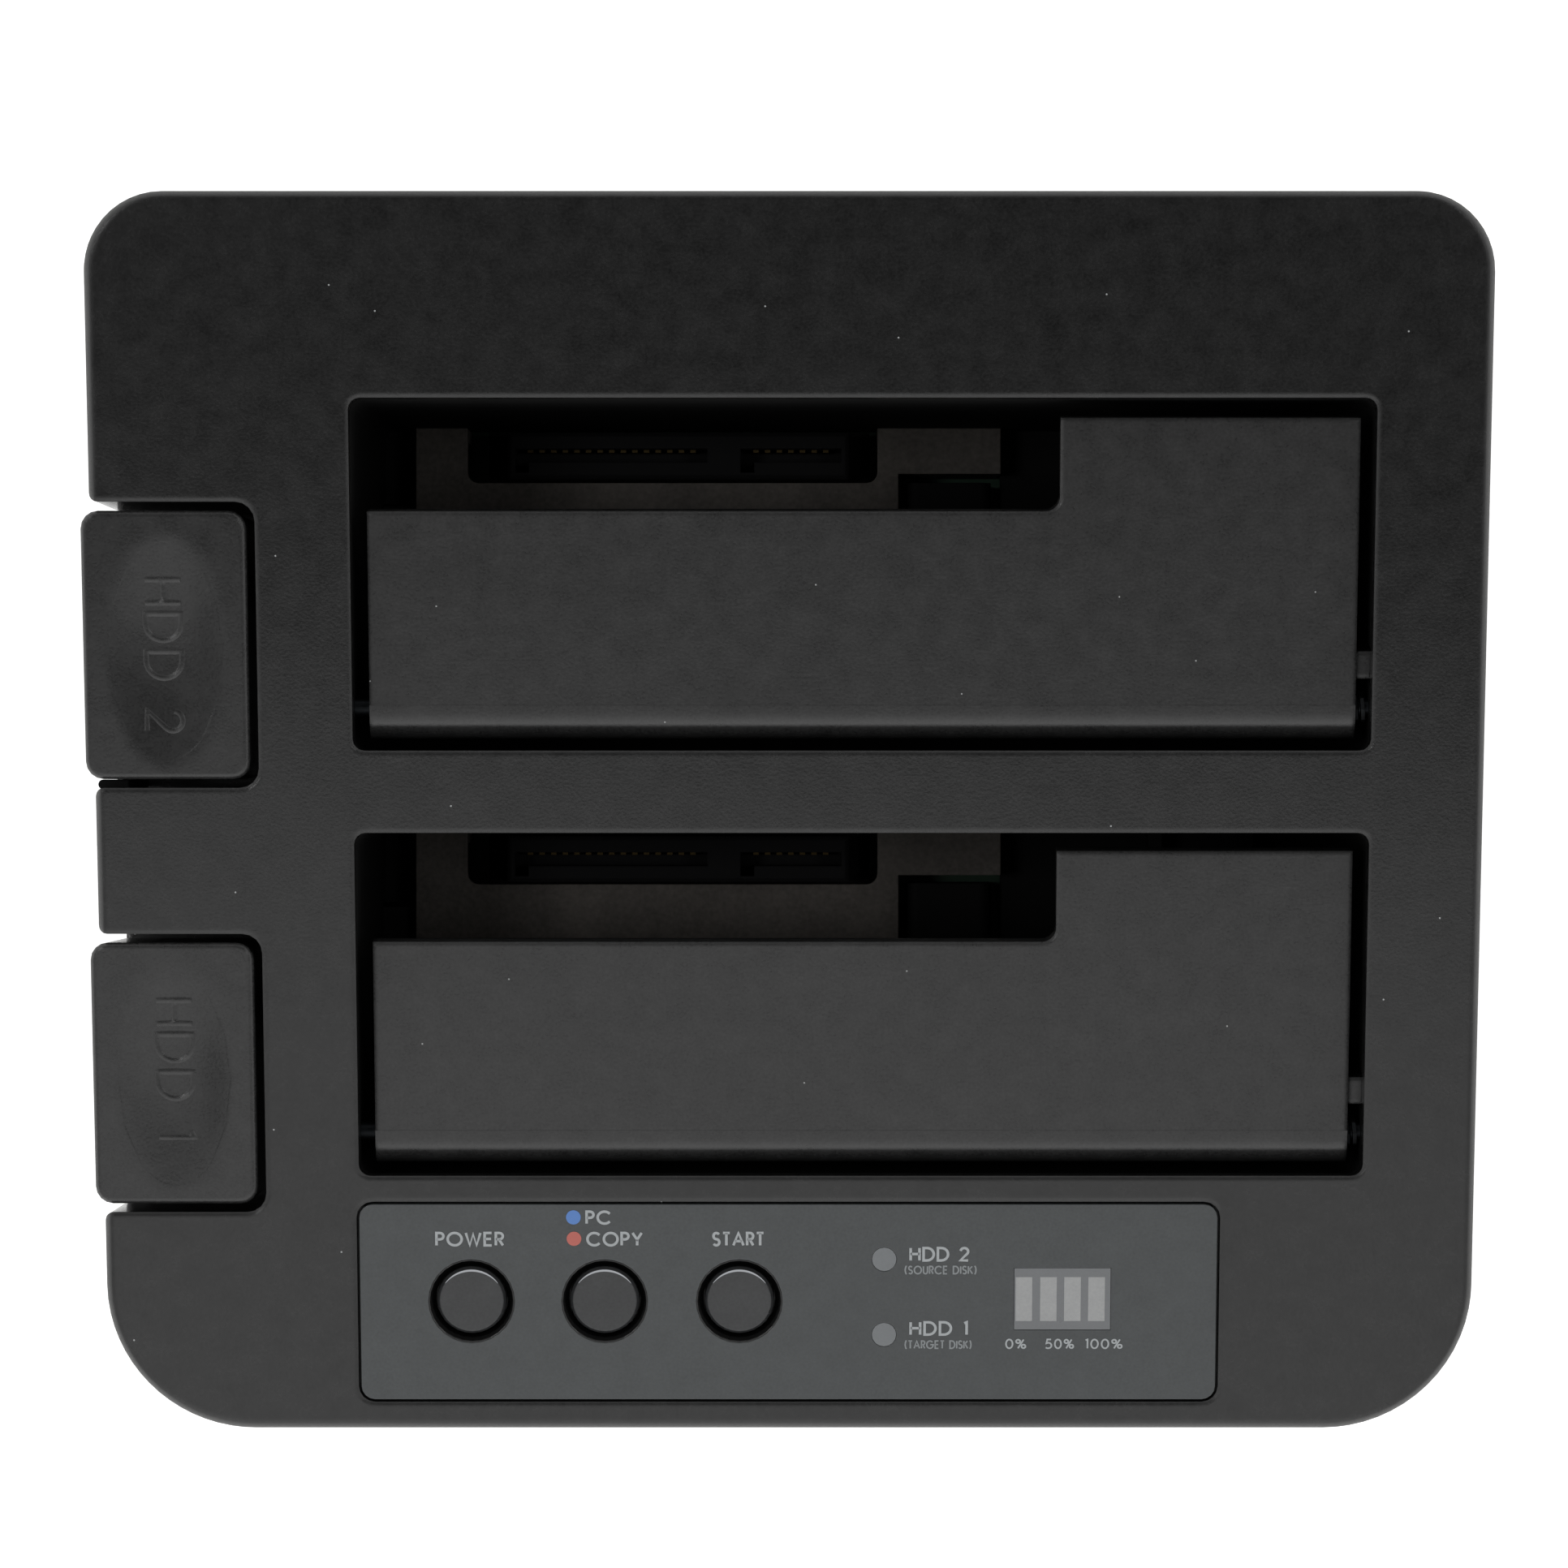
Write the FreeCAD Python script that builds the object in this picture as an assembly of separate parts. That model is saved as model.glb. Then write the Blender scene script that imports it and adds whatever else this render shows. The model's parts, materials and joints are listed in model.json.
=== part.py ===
"""Two-bay drive duplicator dock: a moulded case whose top slopes down to the front.

Frame: X to the right, Y to the back, Z up, millimetres. The origin is under the middle of the whole
object's box, on the table. Drive bay 2 is the rear one. "Setback" is measured towards the front from
a bay's back edge, and "drop" squarely down from the sloping top.
"""
import FreeCAD, Part
import os
from math import asin, atan2, cos, degrees, hypot, pi, sin, tan

V = FreeCAD.Vector
BAYS = (1, 2)

# Drive bays
BAY_W = 104.0
BAY_D = 35.6
BAY_WEB = 8.4           # top surface between the two bays
BAY_R = 1.2
# Control panel
PANEL_W = 89.6
PANEL_D = 21.2
PANEL_T = 1.0
PANEL_R = 1.7
PANEL_GAP = 0.3
PANEL_MARGIN = 2.8      # from the case front
PANEL_WEB = 2.7         # between the panel and bay 1
PANEL_SHIFT = -0.3      # panel's left edge from the bays' left edge
# Eject key pockets, in the left side
POCKET_W = 16.8
POCKET_L = 29.0
POCKET_R = 2.0
POCKET_MOUTH_R = 0.9    # of the case's corners beside the key
POCKET_SETBACK = 10.4
POCKET_WEB = 9.6        # between the pockets and the bays
# Case
BACK_MARGIN = 20.5
RIGHT_MARGIN = 11.6
HEIGHT_BACK = 72.0
HEIGHT_FRONT = 48.6
CORNER_BACK = 8.0
CORNER_FRONT = 15.2
WALL = 2.5
TOP_T = 2.5
EDGE = 0.6              # bevel of the outer edges
SPLIT_Z = 14.0          # parting line of the two shells
LIP_T = 1.2             # tongue of the bottom shell inside the top shell's wall
LIP_H = 2.0
FIT = 0.15              # gap round a part that drops into another
FOOT_H = 1.5            # the feet's stand below the case
FOOT_R = 6.0
FOOT_SEAT = 0.5
FOOT_INSET = 22.0
FLOOR_T = 2.5
VENT_W = 2.0
VENT_L = 22.0
VENT_PITCH = 5.0
VENTS = 7
CASE_POST_R = 3.5
CASE_POST_INSET = 9.0
CASE_POST_Y_BACK = 10.4
CASE_POST_Y_FRONT = 13.4
CASE_SCREW_R = 1.4
CASE_SCREW_BITE = 8.0
CASE_HEAD_R = 2.7
CASE_HEAD_T = 2.0
CASE_HEAD_DEPTH = 6.5   # from the underside up to the head's seat
SCREW_PLAY = 0.2
ROUND_SIDES = 16        # of hidden or tiny round things
CORNER_CHORDS = 4       # of every rounded corner but the case's outer ones
OVER = 5.0              # how far a cutter reaches past what it cuts
RING_SIDES = 28         # of the buttons, their rings and their holes in the panel
# Main board
STANDOFF_H = 4.0
STANDOFF_R = 3.2
BOARD_T = 1.6
BOARD_X0 = 21.0         # from the case's left side
BOARD_X1 = 14.0         # from its right side
BOARD_Y0 = 19.4         # from its front
BOARD_Y1 = 4.3          # from its back
BOARD_HOLE_INSET = 5.0
BOARD_SCREW_R = 1.2
BOARD_HEAD_R = 2.4
BOARD_HEAD_T = 1.4
BOARD_SCREW_BITE = 3.4
# Drive socket, 22 contacts
SOCKET_W = 37.2
SOCKET_D = 5.0
SOCKET_H = 14.1
SOCKET_X = 32.5         # middle, from the bay's left edge
SOCKET_SETBACK = 3.2
SOCKET_FOOT_D = 6.0
SOCKET_FOOT_W = 42.0
SOCKET_FOOT_H = 6.0
POWER_SLOT_W = 21.0
SIGNAL_SLOT_W = 11.0
SLOT_D = 1.5
SLOT_DEPTH = 5.2
SLOT_RIM = 0.8
KEY_LEG = 1.1
POWER_CONTACTS = 15
SIGNAL_CONTACTS = 7
CONTACT_PITCH = 1.27
CONTACT_W = 0.6
CONTACT_T = 0.3
CONTACT_DROP = 2.2      # blades' upper ends below the socket's top
SOCKET_EDGE = 0.4
# Connector guide: the raised plate that a drive stands on
NOSE_PROUD = 3.5        # socket above the plate
GUIDE_T = 1.6
GUIDE_WALL = 1.5
GUIDE_X0 = 3.7          # from the bay's left edge
GUIDE_W = 64.1
GUIDE_D = 24.0
NOTCH_WEB = 2.3         # between the socket cut-out and the notch for the ejector
NOTCH_SETBACK = 5.0
MOUTH_X0 = 9.35         # socket cut-out, from the bay's left edge
MOUTH_W = 44.95
MOUTH_SETBACK = 6.0
BOARD_GAP = 0.3         # guide and arms above the main board
# Slot frame: the well of one bay
FRAME_WALL = 1.6
FRAME_FLOOR_Z = 4.7     # floor's top below the guide plate
FRAME_FLOOR_T = 1.6
REST_T = 1.5
REST_X = 10.0           # drive rests, from the bay's right edge
REST_L = 26.0
EAR_DROP = 22.0
EAR_T = 2.2
EAR_L = 5.8
EAR_W = 7.0
EAR_SETBACK = 17.0
FRAME_POST_R = 2.6
FRAME_POST_X = 3.2      # from the frame's side
FRAME_SCREW_R = 1.1
FRAME_SCREW_BITE = 6.0
FRAME_HEAD_R = 2.1
FRAME_HEAD_T = 1.3
# Flap
FLAP_GAP_LEFT = 1.65
FLAP_GAP_RIGHT = 1.5
FLAP_GAP_BACK = 1.9
FLAP_DROP = 1.8
FLAP_T = 2.0
FLAP_R = 1.5            # of its one inner corner
WINDOW_W = 72.1         # for small drives, from the bay's left edge
WINDOW_D = 11.3
ROLL_R = 2.4
ROLL_SKIN = 0.75
HINGE_SETBACK = 31.1
PIN_R = 0.95
PIN_PLAY = 0.05
KNUCKLE_W = 8.0
KNUCKLES = 2
RIB_T = 1.2
RIB_H = 2.2
RIM_T = 1.4
RIM_INSET = 1.0
STOP_Y0 = 3.2           # stop ear, from the hinge
STOP_L = 2.8
STOP_T = 1.9
STOP_REACH = 2.0        # under the case top
STOP_GAP = 0.3
# Flap spring
COIL_R = 1.38
WIRE_R = 0.2
COILS = 4
COIL_GAP = 0.35         # from the bay's side
SPRING_INSET = 1.3      # first coil, inside the flap's end
SPRING_LEG = 8.0
SPRING_SEAT_L = 3.0
COIL_PITCH = (FLAP_GAP_RIGHT + SPRING_INSET - COIL_GAP) / COILS
# Eject key
KEY_GAP = 0.9
KEY_PROUD = 0.9         # beyond the case's left side
KEY_H = 12.5
KEY_WALL = 1.6
KEY_TOP_T = 2.4
KEY_R = 1.8
KEY_EDGE = 0.35
KEY_TRAVEL = 6.0
KEY_FLOOR_GAP = 0.5     # left under the key at the end of its travel
DISH_L = 23.0
DISH_W = 11.6
DISH_DEPTH = 0.9
DISH_SHIFT = 0.6        # towards the front, from the key's middle
DISH_CHORDS = 6
STEM_W = 4.2             # square stem, which keeps the key from turning
STEM_PLAY = 0.08
STEM_X = 10.0           # from the case's left side
STEM_SETBACK = 18.5
POCKET_WALL = 1.6
GUIDE_TUBE_H = 4.0
KEY_SPRING_R = 3.9
KEY_WIRE_R = 0.3
KEY_COILS = 5
KEY_SEAT_H = 5.5        # spring's upper seat above the key's lower edge
KEY_SEAT_R = 4.6
COIL_STEPS = 8
# Eject lever
PIVOT_X = 22.6          # from the bay's left edge
PIVOT_Z = 6.0           # above the board
HUB_R = 2.5
LEVER_PIN_R = 1.0
LEVER_W = 4.4
LEVER_SETBACK = 10.7
LEVER_ARM_T = 2.8
LEVER_RISE = 2.6        # arm's top above the pivot
LEVER_GAP = 0.4
PAD_R = 5.0
PAD_TOP = 2.8           # crowned pad's top above the pivot
PAD_L = 6.0
TIP_GAP = 1.0           # from the notch's side and from the guide's right side
TIP_W = 7.0
TIP_SETBACK = 9.4
TIP_DROP = 1.4          # below the plate
TIP_R = 1.2
RIB_PIVOT_T = 1.4
RIB_PIVOT_W = 6.0
# Buttons, on the control panel
BUTTON_XS = (11.85, 25.7, 39.7)     # from the panel's left edge
BUTTON_NAMES = ("power", "mode", "start")
BUTTON_Y = 0.1          # from the panel's middle line
BEZEL_R = 4.46
BEZEL_HOLE_R = 3.75
BEZEL_PLAY = 0.04
BEZEL_RIM = 0.1
CAP_R = 3.6
CAP_DROP = 0.3
CAP_EDGE = 0.3
BUTTON_HOLE_R = 3.85
BUTTON_FLANGE_R = 4.7
BUTTON_FLANGE_T = 0.9
BUTTON_FLANGE_GAP = 0.3
BUTTON_STEM_R = 1.5
BUTTON_TRAVEL = 0.5
# Lights and progress window, from the panel's left edge and middle line
LIGHT_X = 54.76
LIGHT_YS = (4.6, -3.5)
LIGHT_R = 1.27
WINDOW_X0 = 68.3
WINDOW_Y0 = -2.95
LEVEL_W = 10.0
LEVEL_L = 6.6
LIGHT_LEDGE = 0.8
LENS_PLAY = 0.04
BARS = 4
BAR_PITCH = 2.5
LED_SIZE = 1.8
LED_H = 1.0
LED_GAP = 0.3
# Panel board
PANEL_BOARD_DROP = 11.0
PANEL_BOARD_X0 = 4.0    # from the panel's left edge
PANEL_BOARD_X1 = 6.0    # from its right edge
PANEL_BOARD_D = 17.0
PANEL_POST_R = 2.2
PANEL_HOLE_INSET = 2.6
PANEL_SCREW_R = 1.0
PANEL_SCREW_BITE = 4.0
PANEL_HEAD_R = 1.9
PANEL_HEAD_T = 1.2
SWITCH_W = 6.0
SWITCH_H = 3.8
SWITCH_GAP = 0.2        # left between switch and stem when pressed
PLUNGER_R = 1.6
PLUNGER_L = 1.5
PLUNGER_PLAY = 0.1
# Rear panel and its ports, from the case's middle
REAR_W = 84.0
REAR_Z0 = 5.5           # above the case's underside
REAR_Z1 = 24.0
REAR_FLANGE = 1.5
REAR_FLANGE_T = 1.1
PORT_PLAY = 0.15
PORT_RECESS = 0.3
ESATA_X = -20.0
ESATA_W = 13.6
ESATA_H = 5.4
ESATA_L = 13.0
ESATA_TONGUE_W = 9.6
ESATA_TONGUE_T = 1.3
ESATA_LIFT = 2.0
ESATA_LEG_Y = 2.0       # legs, from the shell's inner end
ESATA_LEG_L = 4.0
USB_X = 6.0
USB_W = 12.0
USB_H = 11.0
USB_L = 16.0
USB_TONGUE_W = 5.6
USB_TONGUE_H = 3.2
USB_BEVEL = 2.0
PORT_SHEET = 0.5
PORT_DEPTH = 8.5        # of the open mouth
CORE_PLAY = 0.05
TONGUE_SETBACK = 1.0    # behind the shell's mouth
JACK_X = 31.0
JACK_W = 9.0
JACK_H = 11.0
JACK_L = 14.0
JACK_BORE_R = 3.15
JACK_PIN_R = 1.0
JACK_PIN_L = 9.0
JACK_SEAT_R = 0.8       # pin's thinner end, held in the bore's bottom
JACK_SEAT_L = 2.0
JACK_PIN_SETBACK = 0.5
# Parts on the main board: x and y from the case's middle, width, depth, height
CHIPS = ((10.0, 9.0, 12.0, 12.0, 1.4), (34.0, 18.0, 10.0, 10.0, 1.2), (38.0, -24.0, 8.0, 5.0, 1.5))
CANS = ((42.0, 51.0), (-31.5, 51.0), (-38.5, 50.0))
CAN_R = 3.1
CAN_H = 5.5
CAN_BASE = 0.8
# Ribbon cable from the panel board to the main board
RIBBON_X = 8.0          # from the case's middle
RIBBON_W = 12.0
RIBBON_T = 0.4
RIBBON_Y = 4.6          # behind the main board's front edge
RIBBON_TOP_Y = 4.4      # behind the panel's middle line
RIBBON_BEND = 6.0
PLUG_W = 15.0
PLUG_D = 4.0
PLUG_H = 3.2
PLUG_GRIP = 1.2

# What follows from them
WIDTH = POCKET_W + POCKET_WEB + BAY_W + RIGHT_MARGIN
BAY_PITCH = BAY_D + BAY_WEB
DEPTH = PANEL_MARGIN + PANEL_D + PANEL_WEB + BAY_D + BAY_PITCH + BACK_MARGIN
X_LEFT = -WIDTH / 2
X_RIGHT = WIDTH / 2
Y_FRONT = -DEPTH / 2
Y_BACK = DEPTH / 2
SLOPE = atan2(HEIGHT_BACK - HEIGHT_FRONT, DEPTH)
BASE_Z = FOOT_H
BOARD_Z = BASE_Z + FLOOR_T + STANDOFF_H
BOARD_TOP = BOARD_Z + BOARD_T
SOCKET_TOP = BOARD_TOP + SOCKET_H
PLATE_Z = SOCKET_TOP - NOSE_PROUD
BAY_X0 = X_LEFT + POCKET_W + POCKET_WEB
BAY_X1 = BAY_X0 + BAY_W
POCKET_X1 = X_LEFT + POCKET_W
PANEL_X0 = BAY_X0 + PANEL_SHIFT
PANEL_Y = Y_FRONT + PANEL_MARGIN + PANEL_D / 2
BUTTON_DROP = PANEL_BOARD_DROP - SWITCH_H - BUTTON_TRAVEL - SWITCH_GAP     # stem's lower end
SHIFT_X = KEY_PROUD / 2     # the keys stand out on the left only
PIVOT = (BAY_X0 + PIVOT_X, BOARD_TOP + PIVOT_Z)
NOTCH_X = MOUTH_X0 + MOUTH_W + NOTCH_WEB     # notch's left side, from the bay's left edge
STEM = X_LEFT + STEM_X
HINGE_DROP = FLAP_DROP + ROLL_R
STOP_TOP = HINGE_DROP - TOP_T - STOP_GAP     # stop ear's top above the hinge


def bay_back(bay):
    return Y_BACK - BACK_MARGIN - (2 - bay) * BAY_PITCH


def bay_front(bay):
    return bay_back(bay) - BAY_D


def top_z(y, drop=0.0):
    """Height of the sloping top, or of a plane squarely below it, above depth y."""
    return HEIGHT_BACK - (Y_BACK - y) * tan(SLOPE) - drop / cos(SLOPE)


def hinge(bay):
    """Y and Z of a flap's hinge axis."""
    y = bay_back(bay) - HINGE_SETBACK
    return y, top_z(y, HINGE_DROP)


# Shapes
def box(x0, x1, y0, y1, z0, z1):
    return Part.makeBox(x1 - x0, y1 - y0, z1 - z0, V(x0, y0, z0))


def rod(r, start, along, length):
    return Part.makeCylinder(r, length, V(*start), V(*along))


def peg(r, start, along, length, sides=8):
    """Post, pilot hole or plain screw of few sides, along Z."""
    x, y, z = start
    corners = [(x + r * cos(k * 2 * pi / sides), y + r * sin(k * 2 * pi / sides), z) for k in range(sides)]
    return polygon(corners).extrude(V(*along) * length)


def drum(r0, r1, x, z0, z1):
    """Straight or tapered round of a button at x in the panel's frame, in fine flats."""
    rings = []
    for r, z in ((r0, z0), (r1, z1)):
        corners = [V(x + r * cos(k * 2 * pi / RING_SIDES), BUTTON_Y + r * sin(k * 2 * pi / RING_SIDES), z)
                   for k in range(RING_SIDES)]
        rings.append(Part.makePolygon(corners + corners[:1]))
    return Part.makeLoft(rings, True, True)


def polygon(points):
    corners = [V(*p) for p in points]
    return Part.Face(Part.makePolygon(corners + corners[:1]))


def rounded(x0, x1, y0, y1, radii, chords=CORNER_CHORDS):
    """Flat rectangle whose corners have radii front left, front right, back right, back left.

    The corners are in chords, or true arcs where chords is 0.
    """
    corners = ((x0, y0, 1, 1, pi), (x1, y0, -1, 1, 1.5 * pi), (x1, y1, -1, -1, 0), (x0, y1, 1, -1, pi / 2))
    steps = chords or 2
    rounds = []
    for (x, y, sx, sy, start), r in zip(corners, radii):
        angles = [start + k * pi / 2 / steps for k in range(steps + 1)] if r else [start]
        rounds.append([V(x + sx * r + r * cos(angle), y + sy * r + r * sin(angle), 0) for angle in angles])
    edges = []
    for points, following in zip(rounds, rounds[1:] + rounds[:1]):
        if chords or len(points) == 1:
            edges += [Part.LineSegment(one, two).toShape() for one, two in zip(points, points[1:])]
        else:
            edges.append(Part.Arc(*points).toShape())
        edges.append(Part.LineSegment(points[-1], following[0]).toShape())
    return Part.Face(Part.Wire(edges))


def prism(face, z0, z1):
    solid = face.extrude(V(0, 0, z1 - z0))
    solid.translate(V(0, 0, z0))
    return solid


def fuse(shapes):
    shapes = list(shapes)
    return shapes[0].multiFuse(shapes[1:]).removeSplitter()


def cut(shape, tools):
    return shape.cut(list(tools))


def placed(shape, x):
    moved = shape.copy()
    moved.translate(V(x, 0, 0))
    return moved


def round_corners(solid, r, places):
    """Round the upright edges that stand at the given x, y places."""
    edges = [edge for edge in solid.Edges for x, y in places
             if edge.BoundBox.ZLength > 0.1 and hypot(edge.BoundBox.XMin - x, edge.BoundBox.YMin - y) < 1e-5
             and edge.BoundBox.XLength < 1e-5 and edge.BoundBox.YLength < 1e-5]
    return solid.makeFillet(r, edges)


def on_slope(shape, x, y, z):
    """Turn a shape made square to Z onto the slope, with its origin at x, y, z."""
    turned = shape.copy()
    turned.rotate(V(0, 0, 0), V(1, 0, 0), degrees(SLOPE))
    turned.translate(V(x, y, z))
    return turned


def above_top(drop):
    """Everything above a plane that lies a drop below the sloping top."""
    size = 2 * (WIDTH + DEPTH)
    return on_slope(box(-size, size, -size, size, 0, size), 0, 0, top_z(0, drop))


def body_outline(inset):
    front = CORNER_FRONT - inset
    back = CORNER_BACK - inset
    return rounded(X_LEFT + inset, X_RIGHT - inset, Y_FRONT + inset, Y_BACK - inset,
                   (front, front, back, back), CORNER_CHORDS if inset else 0)


def screw(x, y, z, r, length, head_r, head_t, up):
    """Cheese-head screw whose head's seat is at z; its shank points up or down from there."""
    way = 1 if up else -1
    shank = peg(r, (x, y, z), (0, 0, way), length)
    return fuse([peg(head_r, (x, y, z), (0, 0, -way), head_t), shank])


def coil(r, wire_r, pitch, turns):
    """Helical spring wire of square section, rising along Z from the origin in straight chords."""
    steps = turns * COIL_STEPS
    spots = []
    for k in range(steps + 1):
        angle = k * 2 * pi / COIL_STEPS
        spots.append(V(r * cos(angle), r * sin(angle), k * pitch / COIL_STEPS))
    side = [V(r + dx * wire_r, 0, dz * wire_r) for dx, dz in ((-1, -1), (1, -1), (1, 1), (-1, 1))]
    section = Part.makePolygon(side + side[:1])
    return Part.makePolygon(spots).makePipeShell([section], True, False, 1)


# Places that several pieces share
def case_posts():
    for x in (X_LEFT + CASE_POST_INSET, X_RIGHT - CASE_POST_INSET):
        yield x, Y_BACK - CASE_POST_Y_BACK
        yield x, Y_FRONT + CASE_POST_Y_FRONT


def frame_posts(bay):
    y = bay_back(bay) - EAR_SETBACK
    yield BAY_X0 - FRAME_WALL - FRAME_POST_X, y
    yield BAY_X1 + FRAME_WALL + FRAME_POST_X, y


def ear_z(bay):
    """Top of a slot frame's ears."""
    return top_z(bay_back(bay) - EAR_SETBACK, EAR_DROP)


def on_hinge(shape, bay):
    """Place a shape made in a flap hinge's own frame."""
    y, z = hinge(bay)
    return on_slope(shape, 0, y, z)


def board_edges():
    return X_LEFT + BOARD_X0, X_RIGHT - BOARD_X1, Y_FRONT + BOARD_Y0, Y_BACK - BOARD_Y1


def board_holes():
    x0, x1, y0, y1 = board_edges()
    for x in (x0 + BOARD_HOLE_INSET, x1 - BOARD_HOLE_INSET):
        for y in (y0 + BOARD_HOLE_INSET, y1 - BOARD_HOLE_INSET):
            yield x, y


def feet():
    for x in (X_LEFT + FOOT_INSET, X_RIGHT - FOOT_INSET):
        for y in (Y_FRONT + FOOT_INSET, Y_BACK - FOOT_INSET):
            yield x, y


def pocket_y(bay):
    back = bay_back(bay) - POCKET_SETBACK
    return back - POCKET_L, back


def key_low(bay):
    """Lower edge of an eject key at rest."""
    return top_z(pocket_y(bay)[0]) - KEY_H


def pocket_floor(bay):
    return key_low(bay) - KEY_TRAVEL - KEY_FLOOR_GAP


def stem_y(bay):
    return bay_back(bay) - STEM_SETBACK


def lever_y(bay):
    return bay_back(bay) - LEVER_SETBACK


def on_panel(shape):
    """Place a shape made in the panel's own frame: middle of the left edge, on the top surface."""
    return on_slope(shape, PANEL_X0, PANEL_Y, top_z(PANEL_Y))


def panel_posts():
    half = PANEL_BOARD_D / 2 - PANEL_HOLE_INSET
    for x in (PANEL_BOARD_X0 + PANEL_HOLE_INSET, PANEL_W - PANEL_BOARD_X1 - PANEL_HOLE_INSET):
        for y in (-half, half):
            yield x, y


def panel_windows(play, low, high):
    """The lights' round holes and the progress window's rectangle, as solids."""
    shapes = [peg(LIGHT_R + play, (LIGHT_X, y, low), (0, 0, 1), high - low, ROUND_SIDES) for y in LIGHT_YS]
    shapes.append(box(WINDOW_X0 - play, WINDOW_X0 + LEVEL_W + play,
                      WINDOW_Y0 - play, WINDOW_Y0 + LEVEL_L + play, low, high))
    return shapes


# Case
def panel_face(gap):
    half = PANEL_D / 2 / cos(SLOPE) - gap
    r = PANEL_R - gap
    return rounded(gap, PANEL_W - gap, -half, half, (r, r, r, r))


def panel_cuts():
    """Recess, button holes and light holes in the case top, in the panel's frame."""
    cuts = [prism(panel_face(0), -PANEL_T, OVER)]
    for x in BUTTON_XS:
        cuts.append(peg(BUTTON_HOLE_R, (x, BUTTON_Y, -TOP_T - 1), (0, 0, 1), TOP_T + 2, ROUND_SIDES))
    return cuts + panel_windows(LENS_PLAY, -TOP_T - 1, 1)


def stem_box(bay, play, z0, z1):
    half = STEM_W / 2 + play
    y = stem_y(bay)
    return box(STEM - half, STEM + half, y - half, y + half, z0, z1)


def pocket_tub(bay):
    """Solid round a key pocket, with the guide tube of the key's stem below it."""
    y0, y1 = pocket_y(bay)
    r = POCKET_R + POCKET_WALL
    face = rounded(X_LEFT, POCKET_X1 + POCKET_WALL, y0 - POCKET_WALL, y1 + POCKET_WALL, (0, r, r, 0))
    floor = pocket_floor(bay)
    tube = stem_box(bay, STEM_PLAY + POCKET_WALL, floor - POCKET_WALL - GUIDE_TUBE_H, floor)
    return [prism(face, floor - POCKET_WALL, HEIGHT_BACK), tube]


def pocket_hollow(bay):
    y0, y1 = pocket_y(bay)
    reach = X_LEFT - OVER
    r = POCKET_MOUTH_R
    faces = [rounded(reach, POCKET_X1, y0, y1, (0, POCKET_R, POCKET_R, 0))]
    angles = [k * pi / 2 / CORNER_CHORDS for k in range(CORNER_CHORDS + 1)]
    for y, way in ((y0, -1), (y1, 1)):
        arc = [(X_LEFT + r * (1 - cos(angle)), y + way * r * (1 - sin(angle)), 0) for angle in angles]
        faces.append(polygon(arc + [(reach, y, 0), (reach, y + way * r, 0)]))
    hollows = [prism(face, pocket_floor(bay), HEIGHT_BACK + OVER) for face in faces]
    return hollows + [stem_box(bay, STEM_PLAY, 0, HEIGHT_BACK)]


def rear_window(low, high, gap=0.0):
    return box(-REAR_W / 2 + gap, REAR_W / 2 - gap, Y_BACK - WALL, Y_BACK, low + gap, high - gap)


def top_shell():
    outer = cut(prism(body_outline(0), SPLIT_Z, HEIGHT_BACK + OVER), [above_top(0)])
    rim = [edge for edge in outer.Edges
           if all(abs(point.Point.z - top_z(point.Point.y)) < 1e-4 for point in edge.Vertexes)]
    outer = outer.makeChamfer(EDGE, rim)
    cavity = cut(prism(body_outline(WALL), SPLIT_Z - 1, HEIGHT_BACK), [above_top(TOP_T)])
    groove = prism(body_outline(WALL - LIP_T - FIT), SPLIT_Z - 1, SPLIT_Z + LIP_H + FIT)
    inside = [piece for bay in BAYS for piece in pocket_tub(bay)]
    inside += [peg(CASE_POST_R, (x, y, SPLIT_Z), (0, 0, 1), HEIGHT_BACK) for x, y in case_posts()]
    for bay in BAYS:
        inside += [peg(FRAME_POST_R, (x, y, ear_z(bay)), (0, 0, 1), HEIGHT_BACK)
                   for x, y in frame_posts(bay)]
    drop = PANEL_BOARD_DROP
    inside += [on_panel(peg(PANEL_POST_R, (x, y, -drop), (0, 0, 1), drop)) for x, y in panel_posts()]
    inside = [cut(piece, [above_top(EDGE)]) for piece in inside]
    shell = fuse([cut(outer, [cavity, groove])] + inside)
    holes = [on_panel(shape) for shape in panel_cuts()]
    for bay in BAYS:
        face = rounded(BAY_X0, BAY_X1, bay_front(bay), bay_back(bay), (BAY_R,) * 4)
        holes.append(prism(face, SPLIT_Z, HEIGHT_BACK + OVER))
        holes += pocket_hollow(bay)
        holes += [peg(FRAME_SCREW_R, (x, y, ear_z(bay)), (0, 0, 1), FRAME_SCREW_BITE)
                  for x, y in frame_posts(bay)]
    holes += [peg(CASE_SCREW_R, (x, y, SPLIT_Z), (0, 0, 1), CASE_SCREW_BITE) for x, y in case_posts()]
    holes += [on_panel(peg(PANEL_SCREW_R, (x, y, -drop), (0, 0, 1), PANEL_SCREW_BITE))
              for x, y in panel_posts()]
    holes.append(rear_window(SPLIT_Z, BASE_Z + REAR_Z1))
    return cut(shell, holes)


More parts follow.
